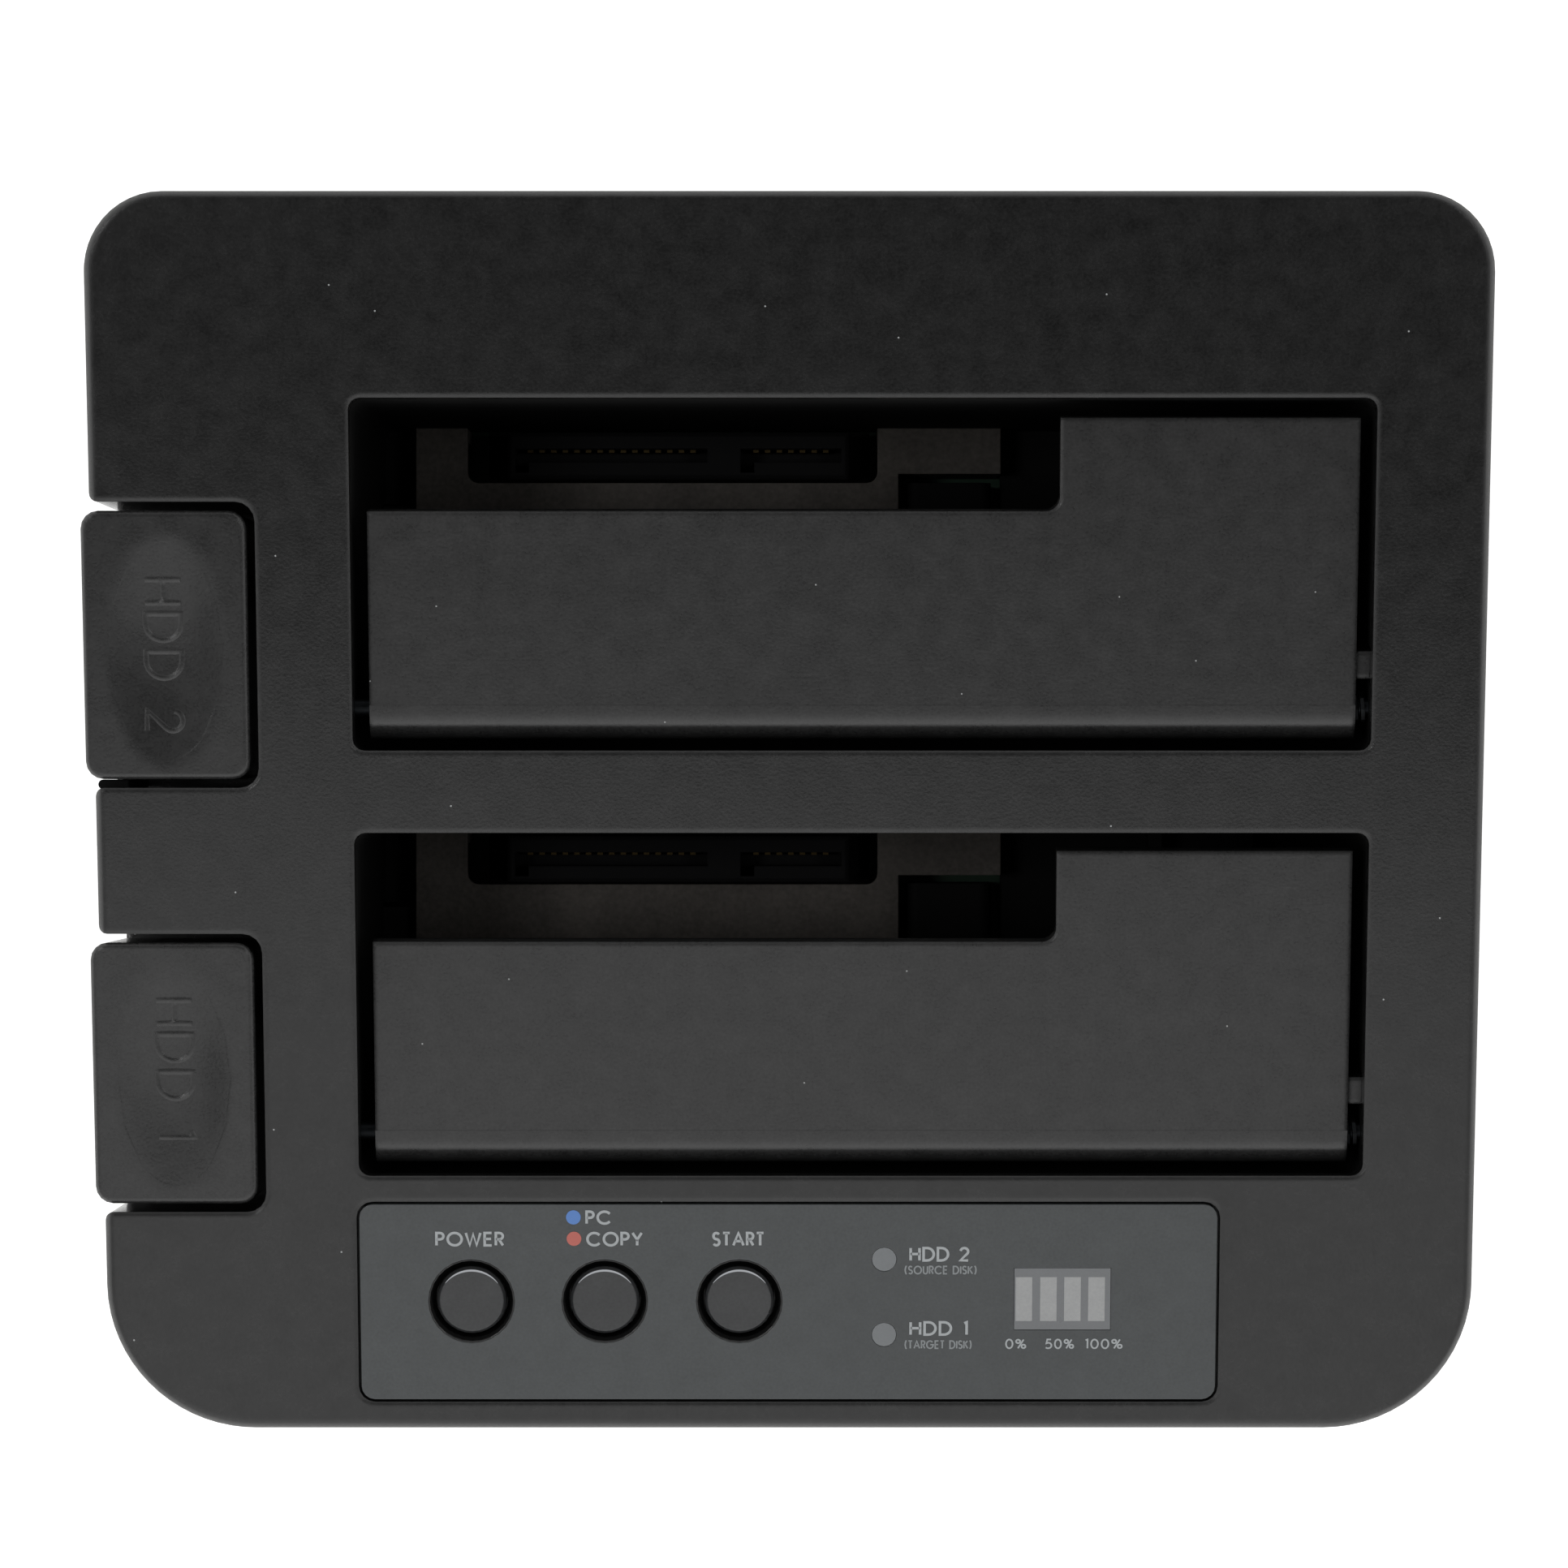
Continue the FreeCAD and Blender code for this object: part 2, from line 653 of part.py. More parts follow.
def bottom_shell():
    outer = prism(body_outline(0), BASE_Z, SPLIT_Z)
    rim = [edge for edge in outer.Edges if edge.BoundBox.ZMax < BASE_Z + 1e-6]
    outer = outer.makeChamfer(EDGE, rim)
    tray = cut(outer, [prism(body_outline(WALL), BASE_Z + FLOOR_T, SPLIT_Z + 1)])
    tongue = cut(prism(body_outline(WALL - LIP_T), SPLIT_Z, SPLIT_Z + LIP_H),
                 [prism(body_outline(WALL), SPLIT_Z, SPLIT_Z + LIP_H)])
    towers = [peg(CASE_HEAD_R + SCREW_PLAY + POCKET_WALL, (x, y, BASE_Z + EDGE), (0, 0, 1),
                  SPLIT_Z - BASE_Z - EDGE) for x, y in case_posts()]
    posts = [peg(STANDOFF_R, (x, y, BASE_Z + EDGE), (0, 0, 1), BOARD_Z - BASE_Z - EDGE)
             for x, y in board_holes()]
    tray = fuse([tray, tongue] + towers + posts)
    holes = []
    for x, y in case_posts():
        holes.append(peg(CASE_SCREW_R + SCREW_PLAY, (x, y, 0), (0, 0, 1), SPLIT_Z + 1))
        holes.append(peg(CASE_HEAD_R + SCREW_PLAY, (x, y, 0), (0, 0, 1), BASE_Z + CASE_HEAD_DEPTH,
                         ROUND_SIDES))
    holes += [peg(BOARD_SCREW_R, (x, y, BOARD_Z), (0, 0, -1), BOARD_SCREW_BITE) for x, y in board_holes()]
    holes += [peg(FOOT_R, (x, y, 0), (0, 0, 1), BASE_Z + FOOT_SEAT, ROUND_SIDES) for x, y in feet()]
    for bay in BAYS:
        y = lever_y(bay) - VENT_L
        for k in range(VENTS):
            x = (k - (VENTS - 1) / 2) * VENT_PITCH
            holes.append(box(x - VENT_W / 2, x + VENT_W / 2, y, y + VENT_L, 0, BASE_Z + FLOOR_T + 0.5))
    holes.append(rear_window(BASE_Z + REAR_Z0, SPLIT_Z + LIP_H + 1))
    return cut(tray, holes)


def rubber_feet():
    return Part.makeCompound([peg(FOOT_R, (x, y, 0), (0, 0, 1), FOOT_H + FOOT_SEAT, ROUND_SIDES)
                              for x, y in feet()])


def case_screws():
    seat = BASE_Z + CASE_HEAD_DEPTH
    length = SPLIT_Z + CASE_SCREW_BITE - 1 - seat
    return Part.makeCompound([screw(x, y, seat, CASE_SCREW_R, length, CASE_HEAD_R, CASE_HEAD_T, True)
                              for x, y in case_posts()])


# Rear panel and ports
def port_boxes(play):
    top = BOARD_TOP
    return {"esata": (ESATA_X - ESATA_W / 2 - play, ESATA_X + ESATA_W / 2 + play,
                      top + ESATA_LIFT - play, top + ESATA_LIFT + ESATA_H + play),
            "usb": (USB_X - USB_W / 2 - play, USB_X + USB_W / 2 + play, top - play, top + USB_H + play),
            "jack": (JACK_X - JACK_W / 2 - play, JACK_X + JACK_W / 2 + play, top - play, top + JACK_H + play)}


def rear_panel():
    low = BASE_Z + REAR_Z0
    high = BASE_Z + REAR_Z1
    inner = Y_BACK - WALL
    plate = rear_window(low, high, FIT)
    half = REAR_W / 2 + REAR_FLANGE
    flange = box(-half, half, inner - REAR_FLANGE_T, inner, low - REAR_FLANGE, high + REAR_FLANGE)
    holes = [box(x0, x1, inner - REAR_FLANGE_T, Y_BACK, z0, z1)
             for x0, x1, z0, z1 in port_boxes(PORT_PLAY).values()]
    return cut(fuse([plate, flange]), holes)


def port_end():
    return Y_BACK - PORT_RECESS


def usb_port():
    x0, x1, z0, z1 = port_boxes(0)["usb"]
    end = port_end()
    bevel = USB_BEVEL
    outline = [(x0, end, z0), (x1, end, z0), (x1, end, z1 - bevel), (x1 - bevel, end, z1),
               (x0 + bevel, end, z1), (x0, end, z1 - bevel)]
    shell = polygon(outline).extrude(V(0, -USB_L, 0))
    t = PORT_SHEET
    bore = [(x0 + t, end, z0 + t), (x1 - t, end, z0 + t), (x1 - t, end, z1 - bevel - t / 2),
            (x1 - bevel - t / 2, end, z1 - t), (x0 + bevel + t / 2, end, z1 - t),
            (x0 + t, end, z1 - bevel - t / 2)]
    return cut(shell, [polygon(bore).extrude(V(0, -USB_L, 0))])


def usb_core():
    x0, x1, z0, z1 = port_boxes(0)["usb"]
    gap = PORT_SHEET + CORE_PLAY
    end = port_end()
    block = box(x0 + gap, x1 - gap, end - USB_L, end - PORT_DEPTH, z0 + gap, z1 - gap - USB_BEVEL)
    middle = (z0 + z1) / 2
    tongue = box(USB_X - USB_TONGUE_W / 2, USB_X + USB_TONGUE_W / 2, end - PORT_DEPTH, end - TONGUE_SETBACK,
                 middle - USB_TONGUE_H / 2, middle + USB_TONGUE_H / 2)
    return fuse([block, tongue])


def esata_port():
    x0, x1, z0, z1 = port_boxes(0)["esata"]
    t = PORT_SHEET
    end = port_end()
    shell = box(x0, x1, end - ESATA_L, end, z0, z1)
    leg = end - ESATA_L + ESATA_LEG_Y
    legs = [box(x, x + t, leg, leg + ESATA_LEG_L, BOARD_TOP, z0) for x in (x0, x1 - t)]
    return cut(fuse([shell] + legs), [box(x0 + t, x1 - t, end - ESATA_L, end, z0 + t, z1 - t)])


def esata_core():
    x0, x1, z0, z1 = port_boxes(0)["esata"]
    gap = PORT_SHEET + CORE_PLAY
    end = port_end()
    block = box(x0 + gap, x1 - gap, end - ESATA_L, end - PORT_DEPTH, z0 + gap, z1 - gap)
    middle = (z0 + z1) / 2
    left = ESATA_X - ESATA_TONGUE_W / 2
    tip = end - TONGUE_SETBACK
    tongue = box(left, left + ESATA_TONGUE_W, end - PORT_DEPTH, tip, middle, middle + ESATA_TONGUE_T)
    leg = box(left, left + ESATA_TONGUE_T, end - PORT_DEPTH, tip, middle - ESATA_TONGUE_T, middle)
    return fuse([block, tongue, leg])


def power_jack():
    x0, x1, z0, z1 = port_boxes(0)["jack"]
    end = port_end()
    block = box(x0, x1, end - JACK_L, end, z0, z1)
    middle = (z0 + z1) / 2
    depth = jack_pin_end() - JACK_PIN_L
    bore = rod(JACK_BORE_R, (JACK_X, end, middle), (0, -1, 0), end - depth)
    seat = rod(JACK_SEAT_R, (JACK_X, depth, middle), (0, -1, 0), JACK_SEAT_L)
    return cut(block, [bore, seat])


def jack_pin_end():
    return port_end() - JACK_PIN_SETBACK


def power_jack_pin():
    middle = BOARD_TOP + JACK_H / 2
    pin = rod(JACK_PIN_R, (JACK_X, jack_pin_end(), middle), (0, -1, 0), JACK_PIN_L)
    seat = rod(JACK_SEAT_R, (JACK_X, jack_pin_end() - JACK_PIN_L, middle), (0, -1, 0), JACK_SEAT_L)
    return fuse([pin, seat])


# Main board
def main_board():
    x0, x1, y0, y1 = board_edges()
    board = box(x0, x1, y0, y1, BOARD_Z, BOARD_TOP)
    return cut(board, [peg(BOARD_SCREW_R + SCREW_PLAY, (x, y, 0), (0, 0, 1), BOARD_TOP + 1)
                       for x, y in board_holes()])


def board_screws():
    length = BOARD_T + BOARD_SCREW_BITE - 0.5
    return Part.makeCompound([screw(x, y, BOARD_TOP, BOARD_SCREW_R, length, BOARD_HEAD_R, BOARD_HEAD_T,
                                    False) for x, y in board_holes()])


def controller_chips():
    return Part.makeCompound([box(x - w / 2, x + w / 2, y - d / 2, y + d / 2, BOARD_TOP, BOARD_TOP + h)
                              for x, y, w, d, h in CHIPS])


def capacitors():
    cans = []
    for x, y in CANS:
        base = box(x - CAN_R, x + CAN_R, y - CAN_R, y + CAN_R, BOARD_TOP, BOARD_TOP + CAN_BASE)
        can = peg(CAN_R - 0.1, (x, y, BOARD_TOP), (0, 0, 1), CAN_H, ROUND_SIDES)
        cans.append(fuse([base, can]))
    return Part.makeCompound(cans)


# Drive sockets
def socket_y(bay):
    return bay_back(bay) - SOCKET_SETBACK


def socket_left():
    return BAY_X0 + SOCKET_X - SOCKET_W / 2


def socket_slots():
    """Left side and width of the power slot and of the signal slot."""
    power = socket_left() + SLOT_RIM
    signal = socket_left() + SOCKET_W - SLOT_RIM - SIGNAL_SLOT_W
    return (power, POWER_SLOT_W, POWER_CONTACTS), (signal, SIGNAL_SLOT_W, SIGNAL_CONTACTS)


def drive_socket(bay):
    y = socket_y(bay)
    middle = socket_left() + SOCKET_W / 2
    foot = box(middle - SOCKET_FOOT_W / 2, middle + SOCKET_FOOT_W / 2,
               y - SOCKET_FOOT_D / 2, y + SOCKET_FOOT_D / 2, BOARD_TOP, BOARD_TOP + SOCKET_FOOT_H)
    nose = box(socket_left(), socket_left() + SOCKET_W, y - SOCKET_D / 2, y + SOCKET_D / 2,
               BOARD_TOP, SOCKET_TOP)
    ends = [edge for edge in nose.Edges if edge.BoundBox.ZMin > SOCKET_TOP - 1e-6]
    nose = nose.makeChamfer(SOCKET_EDGE, ends)
    slots = []
    for left, width, _ in socket_slots():
        slots.append(box(left, left + width, y - SLOT_D / 2, y + SLOT_D / 2,
                         SOCKET_TOP - SLOT_DEPTH, SOCKET_TOP))
        slots.append(box(left, left + SLOT_D, y - SLOT_D / 2 - KEY_LEG, y, SOCKET_TOP - SLOT_DEPTH,
                         SOCKET_TOP))
    return cut(fuse([foot, nose]), slots)


def socket_contacts(bay):
    y = socket_y(bay) + SLOT_D / 2
    blades = []
    for left, width, count in socket_slots():
        middle = left + width / 2
        for k in range(count):
            x = middle + (k - (count - 1) / 2) * CONTACT_PITCH
            blades.append(box(x - CONTACT_W / 2, x + CONTACT_W / 2, y - CONTACT_T, y,
                              SOCKET_TOP - SLOT_DEPTH, SOCKET_TOP - CONTACT_DROP))
    return Part.makeCompound(blades)


# Connector guide
def guide_outline(bay, inset):
    back = bay_back(bay) - inset
    front = bay_back(bay) - GUIDE_D + inset
    left = BAY_X0 + GUIDE_X0 + inset
    right = BAY_X0 + GUIDE_X0 + GUIDE_W - inset
    notch = BAY_X0 + NOTCH_X - inset
    step = bay_back(bay) - NOTCH_SETBACK + inset
    return polygon([(left, front, 0), (notch, front, 0), (notch, step, 0), (right, step, 0),
                    (right, back, 0), (left, back, 0)])


def lever_tunnel(bay, top):
    """Space for an eject lever under the guide plate and through the slot frame's side."""
    half = LEVER_W / 2 + LEVER_GAP
    y = lever_y(bay)
    return box(X_LEFT, BAY_X0 + NOTCH_X + GUIDE_WALL, y - half, y + half, 0, top)


def connector_guide(bay):
    low = BOARD_TOP + BOARD_GAP
    shell = prism(guide_outline(bay, 0), low, PLATE_Z)
    shell = cut(shell, [prism(guide_outline(bay, GUIDE_WALL), low, PLATE_Z - GUIDE_T)])
    y = lever_y(bay)
    x, z = PIVOT
    inner = LEVER_W / 2 + LEVER_GAP
    ribs = []
    for side in (-1, 1):
        y0 = y + side * (inner + RIB_PIVOT_T / 2) - RIB_PIVOT_T / 2
        ribs.append(box(x - RIB_PIVOT_W / 2, x + RIB_PIVOT_W / 2, y0, y0 + RIB_PIVOT_T,
                        z - RIB_PIVOT_W / 2, PLATE_Z - GUIDE_T))
    mouth_x0 = BAY_X0 + MOUTH_X0
    mouth_face = rounded(mouth_x0, mouth_x0 + MOUTH_W, bay_back(bay) - MOUTH_SETBACK, bay_back(bay) + OVER,
                         (BAY_R, BAY_R, 0, 0))
    cuts = [prism(mouth_face, low, PLATE_Z), lever_tunnel(bay, PLATE_Z - GUIDE_T)]
    shell = fuse([cut(shell, cuts)] + ribs)
    bore = rod(LEVER_PIN_R + PIN_PLAY / 2, (x, y - GUIDE_D, z), (0, 1, 0), 2 * GUIDE_D)
    reach = inner + RIB_PIVOT_T
    return cut(shell, [bore.common(box(x - HUB_R, x + HUB_R, y - reach, y + reach, 0, PLATE_Z))])


# Slot frame
def stop_cuts(bay):
    """Way of the flap's stop ear round the wall that holds the hinge pin, and the spring leg's hole."""
    x0 = BAY_X1
    x1 = BAY_X1 + FRAME_WALL
    reach = hypot(STOP_Y0 + STOP_L, STOP_TOP) + STOP_GAP
    sweep = fuse([box(x0, x1, 0, reach, -reach, reach),
                  box(x0, x1, -STOP_T, 0, -reach, STOP_GAP - STOP_Y0)])
    island = rod(STOP_Y0 - STOP_GAP, (x0, 0, 0), (1, 0, 0), FRAME_WALL)
    half = WIRE_R + PIN_PLAY
    leg_hole = box(x0, x1, -half, half, -COIL_R - half, -COIL_R + half)
    return [on_hinge(cut(sweep, [island]), bay), on_hinge(leg_hole, bay)]


def slot_frame(bay):
    front = bay_front(bay)
    back = bay_back(bay)
    low = PLATE_Z - FRAME_FLOOR_Z - FRAME_FLOOR_T
    t = FRAME_WALL
    outer = box(BAY_X0 - t, BAY_X1 + t, front - t, back + t, low, HEIGHT_BACK)
    well = prism(rounded(BAY_X0, BAY_X1, front, back, (BAY_R,) * 4), low + FRAME_FLOOR_T, HEIGHT_BACK)
    frame = cut(outer, [well, above_top(TOP_T)])
    gap = FIT
    opening = box(BAY_X0 + GUIDE_X0 - gap, BAY_X0 + GUIDE_X0 + GUIDE_W + gap, back - GUIDE_D - gap, back,
                  low, PLATE_Z)
    ears = []
    for x, y in frame_posts(bay):
        x0, x1 = (BAY_X0 - t - EAR_L, BAY_X0 - t) if x < 0 else (BAY_X1 + t, BAY_X1 + t + EAR_L)
        ears.append(box(x0, x1, y - EAR_W / 2, y + EAR_W / 2, ear_z(bay) - EAR_T, ear_z(bay)))
    rests = [box(BAY_X1 - REST_X * k, BAY_X1 - REST_X * k + REST_T, back - REST_L, back,
                 PLATE_Z - FRAME_FLOOR_Z - FRAME_FLOOR_T / 2, PLATE_Z) for k in (1, 2)]
    frame = fuse([cut(frame, [opening, lever_tunnel(bay, PLATE_Z - GUIDE_T)])] + ears + rests)
    y, z = hinge(bay)
    holes = [rod(PIN_R + PIN_PLAY / 2, (BAY_X0 - t, y, z), (1, 0, 0), BAY_W + 2 * t)] + stop_cuts(bay)
    holes += [peg(FRAME_SCREW_R + SCREW_PLAY, (x, y, ear_z(bay) - EAR_T), (0, 0, 1), EAR_T)
              for x, y in frame_posts(bay)]
    return cut(frame, holes)


def frame_screws():
    screws = []
    for bay in BAYS:
        seat = ear_z(bay) - EAR_T
        screws += [screw(x, y, seat, FRAME_SCREW_R, EAR_T + FRAME_SCREW_BITE - 0.5, FRAME_HEAD_R,
                         FRAME_HEAD_T, True) for x, y in frame_posts(bay)]
    return Part.makeCompound(screws)


# Flap, made in its hinge's frame: Y up the slope, Z square to it
def roll_sections():
    """Sections of the flap's rolled edge: hollow between the knuckles, and solid at a knuckle."""
    low = ROLL_R - FLAP_T
    core = ROLL_R - ROLL_SKIN

    def arc(r, start, middle, end):
        spots = [V(0, r * cos(angle), r * sin(angle)) for angle in (start, middle, end)]
        return Part.Arc(*spots).toShape()

    def line(*spots):
        ends = [V(0, y, z) for y, z in spots]
        return [Part.LineSegment(one, two).toShape() for one, two in zip(ends, ends[1:])]

    inner = asin(low / core)
    hollow = line((0, ROLL_R), (ROLL_R, ROLL_R), (ROLL_R, low), (core * cos(inner), low))
    hollow += [arc(core, inner, pi, 1.5 * pi)] + line((0, -core), (0, -ROLL_R))
    hollow.append(arc(ROLL_R, 1.5 * pi, pi, pi / 2))
    outer = asin(low / ROLL_R)
    solid = line((0, ROLL_R), (ROLL_R, ROLL_R), (ROLL_R, low), (ROLL_R * cos(outer), low))
    solid.append(arc(ROLL_R, outer, outer - pi / 2, outer - pi))
    solid.append(arc(ROLL_R, outer - pi, -1.25 * pi, -1.5 * pi))
    bore = Part.Wire(Part.makeCircle(PIN_R + PIN_PLAY, V(0, 0, 0), V(1, 0, 0)))
    knuckle = Part.Face(Part.Wire(solid)).cut(Part.Face(bore))
    return Part.Face(Part.Wire(hollow)), knuckle.Faces[0]


def flap(bay):
    x0 = BAY_X0 + FLAP_GAP_LEFT
    x1 = BAY_X1 - FLAP_GAP_RIGHT
    step = BAY_X0 + WINDOW_W
    lean = ROLL_R * sin(SLOPE)
    full = (HINGE_SETBACK - FLAP_GAP_BACK + lean) / cos(SLOPE)
    short = (HINGE_SETBACK - WINDOW_D + lean) / cos(SLOPE)
    low = ROLL_R - FLAP_T
    leaf = fuse([box(x0, x1, ROLL_R, short, low, ROLL_R), box(step, x1, short, full, low, ROLL_R)])
    leaf = round_corners(leaf, FLAP_R, [(step, short)])
    seat_x = x1 - SPRING_INSET
    pocket = seat_x - COIL_PITCH
    hollow, knuckle = roll_sections()
    span = (pocket - x0 - KNUCKLES * KNUCKLE_W) / (KNUCKLES - 1)
    roll = [placed(hollow, pocket).extrude(V(x1 - pocket, 0, 0))]
    skirt = low - RIB_H
    ribs = []
    for k in range(KNUCKLES):
        x = x0 + k * (KNUCKLE_W + span)
        roll.append(placed(knuckle, x).extrude(V(KNUCKLE_W, 0, 0)))
        if k < KNUCKLES - 1:
            roll.append(placed(hollow, x + KNUCKLE_W).extrude(V(span, 0, 0)))
        middle = x + KNUCKLE_W / 2
        end = full if middle > step else short
        ribs.append(box(middle - RIB_T / 2, middle + RIB_T / 2, ROLL_R - 0.6, end - RIM_INSET, skirt, low))
    rims = [box(x0 + RIM_INSET, step + RIM_INSET, short - RIM_T - RIM_INSET, short - RIM_INSET, skirt, low),
            box(step + RIM_INSET, x1 - RIM_INSET, full - RIM_T - RIM_INSET, full - RIM_INSET, skirt, low),
            box(step + RIM_INSET, step + RIM_INSET + RIM_T, short - RIM_T - RIM_INSET, full - RIM_INSET,
                skirt, low)]
    stop = box(x1 - 1, BAY_X1 + STOP_REACH, STOP_Y0, STOP_Y0 + STOP_L, STOP_TOP - STOP_T, STOP_TOP)
    seat = box(seat_x - RIM_T, seat_x + SPRING_INSET, SPRING_LEG - SPRING_SEAT_L, SPRING_LEG,
               -COIL_R + WIRE_R, low)
    return on_hinge(fuse([leaf, stop, seat] + roll + rims + ribs), bay)


def flap_pin(bay):
    y, z = hinge(bay)
    t = FRAME_WALL
    return rod(PIN_R, (BAY_X0 - t, y, z), (1, 0, 0), BAY_W + 2 * t)


def flap_spring(bay):
    """Torsion spring on the hinge pin: one leg under the flap, the other into the frame's side."""
    turns = coil(COIL_R, WIRE_R, COIL_PITCH, COILS)
    turns.rotate(V(0, 0, 0), V(0, 1, 0), 90)
    x1 = BAY_X1 - COIL_GAP
    start = BAY_X1 - FLAP_GAP_RIGHT - SPRING_INSET
    turns.translate(V(start, 0, 0))
    r = WIRE_R
    flap_leg = box(start - r, start + r, 0, SPRING_LEG, -COIL_R - r, -COIL_R + r)
    frame_leg = box(x1 - r, x1 + COIL_GAP + FRAME_WALL / 2, -r, r, -COIL_R - r, -COIL_R + r)
    return on_hinge(fuse([turns, flap_leg, frame_leg]), bay)


# Eject key, lever and their springs and pins
def dish(x, y, top):
    """Cutter for the long oval finger dish: a shallow arc, in chords, turned about an axis along Y."""
    r_long = ((DISH_L / 2) ** 2 + DISH_DEPTH ** 2) / (2 * DISH_DEPTH)
    r_wide = ((DISH_W / 2) ** 2 + DISH_DEPTH ** 2) / (2 * DISH_DEPTH)
    axis = r_wide - DISH_DEPTH
    points = [(0, DISH_L, axis), (0, -DISH_L, axis)]
    for k in range(DISH_CHORDS + 1):
        y_k = DISH_L * (2 * k / DISH_CHORDS - 1) * 0.6
        points.append((0, y_k, r_long - (r_long ** 2 - y_k ** 2) ** 0.5 - DISH_DEPTH))
    barrel = polygon(points).revolve(V(0, 0, axis), V(0, 1, 0), 360)
    return on_slope(barrel, x, y, top)


def key_face(bay, inset):
    y0, y1 = pocket_y(bay)
    r = KEY_R - min(inset, KEY_R - 0.3)
    gap = KEY_GAP + inset
    return rounded(X_LEFT - KEY_PROUD + inset, POCKET_X1 - gap, y0 + gap, y1 - gap, (r,) * 4)


def eject_key(bay):
    low = key_low(bay)
    body = cut(prism(key_face(bay, 0), low, HEIGHT_BACK + OVER), [above_top(0)])
    rim = [edge for edge in body.Edges
           if all(abs(point.Point.z - top_z(point.Point.y)) < 1e-4 for point in edge.Vertexes)]
    body = body.makeChamfer(KEY_EDGE, rim)
    hollow = cut(prism(key_face(bay, KEY_WALL), low, HEIGHT_BACK), [above_top(KEY_TOP_T)])
    seat = peg(KEY_SEAT_R, (STEM, stem_y(bay), low + KEY_SEAT_H), (0, 0, 1), HEIGHT_BACK)
    stem_end = PIVOT[1] + PAD_TOP + STOP_GAP
    inner = fuse([seat, stem_box(bay, 0, stem_end, HEIGHT_BACK)])
    inner = cut(inner, [above_top(KEY_TOP_T / 2 + DISH_DEPTH / 2)])
    y0, y1 = pocket_y(bay)
    middle = (y0 + y1) / 2 - DISH_SHIFT
    return cut(fuse([cut(body, [hollow]), inner]),
               [dish((X_LEFT - KEY_PROUD + POCKET_X1 - KEY_GAP) / 2, middle, top_z(middle))])


def key_spring(bay):
    low = pocket_floor(bay) + KEY_WIRE_R
    height = key_low(bay) + KEY_SEAT_H - KEY_WIRE_R - low
    turns = coil(KEY_SPRING_R, KEY_WIRE_R, height / KEY_COILS, KEY_COILS)
    turns.translate(V(STEM, stem_y(bay), low))
    return turns


def eject_lever(bay):
    y = lever_y(bay)
    x, z = PIVOT
    half = LEVER_W / 2
    top = z + LEVER_RISE
    angle = KEY_TRAVEL / (x - STEM)
    notch = BAY_X0 + NOTCH_X
    rest = PLATE_Z - GUIDE_T - BOARD_GAP - top
    drop = (notch - x) * tan(angle) - rest
    pad_x0 = STEM - PAD_L / 2
    left = [(pad_x0, top), (x, top), (x, top - LEVER_ARM_T), (pad_x0, top - LEVER_ARM_T)]
    tip_x0 = notch + TIP_GAP
    tip_x1 = BAY_X0 + GUIDE_X0 + GUIDE_W - TIP_GAP
    right = [(x, top), (tip_x0, top - drop), (tip_x0, top - drop - LEVER_ARM_T), (x, top - LEVER_ARM_T)]
    arms = [polygon([(px, y - half, pz) for px, pz in side]).extrude(V(0, LEVER_W, 0))
            for side in (left, right)]
    tip_y = bay_back(bay) - TIP_SETBACK
    low = top - drop - LEVER_ARM_T
    tip = box(tip_x0, tip_x1, tip_y - TIP_W / 2, tip_y + TIP_W / 2, low, PLATE_Z - TIP_DROP)
    edges = [edge for edge in tip.Edges if edge.BoundBox.XLength < 1e-6 and edge.BoundBox.ZLength < 1e-6
             and edge.BoundBox.ZMin > low + TIP_R]
    tip = tip.makeFillet(TIP_R, edges)
    pad_y0 = stem_y(bay) - PAD_L / 2
    pad_top = z + PAD_TOP
    pad = rod(PAD_R, (STEM, pad_y0, pad_top - PAD_R), (0, 1, 0), y + half - pad_y0)
    pad = pad.common(box(pad_x0, pad_x0 + PAD_L, pad_y0, y + half, top - LEVER_ARM_T, pad_top + STOP_GAP))
    hub = rod(HUB_R, (x, y - half, z), (0, 1, 0), LEVER_W)
    lever = fuse(arms + [tip, pad, hub])
    return cut(lever, [rod(LEVER_PIN_R + PIN_PLAY, (x, y - half, z), (0, 1, 0), LEVER_W)])


def lever_pin(bay):
    half = LEVER_W / 2 + LEVER_GAP + RIB_PIVOT_T
    x, z = PIVOT
    return rod(LEVER_PIN_R, (x, lever_y(bay) - half, z), (0, 1, 0), 2 * half)


# Control panel, made in its own frame
def control_panel():
    holes = [drum(BEZEL_R + BEZEL_PLAY, BEZEL_R + BEZEL_PLAY, x, -PANEL_T, 0) for x in BUTTON_XS]
    holes += panel_windows(LENS_PLAY, -PANEL_T, 0)
    return on_panel(cut(prism(panel_face(PANEL_GAP), -PANEL_T, 0), holes))


def button_bezels():
    rings = []
    for x in BUTTON_XS:
        rings.append(cut(drum(BEZEL_R, BEZEL_R, x, -PANEL_T, 0),
                         [drum(BEZEL_HOLE_R, BEZEL_R - BEZEL_RIM, x, -PANEL_T, 0)]))
    return on_panel(Part.makeCompound(rings))


def button(index):
    x = BUTTON_XS[index]
    flange_top = -TOP_T - BUTTON_FLANGE_GAP
    cap = fuse([drum(CAP_R, CAP_R, x, flange_top, -CAP_DROP - CAP_EDGE),
                drum(CAP_R, CAP_R - CAP_EDGE, x, -CAP_DROP - CAP_EDGE, -CAP_DROP)])
    flange = peg(BUTTON_FLANGE_R, (x, BUTTON_Y, flange_top), (0, 0, -1), BUTTON_FLANGE_T, ROUND_SIDES)
    stem = peg(BUTTON_STEM_R, (x, BUTTON_Y, flange_top), (0, 0, -1), BUTTON_DROP + flange_top)
    return on_panel(fuse([cap, flange, stem]))


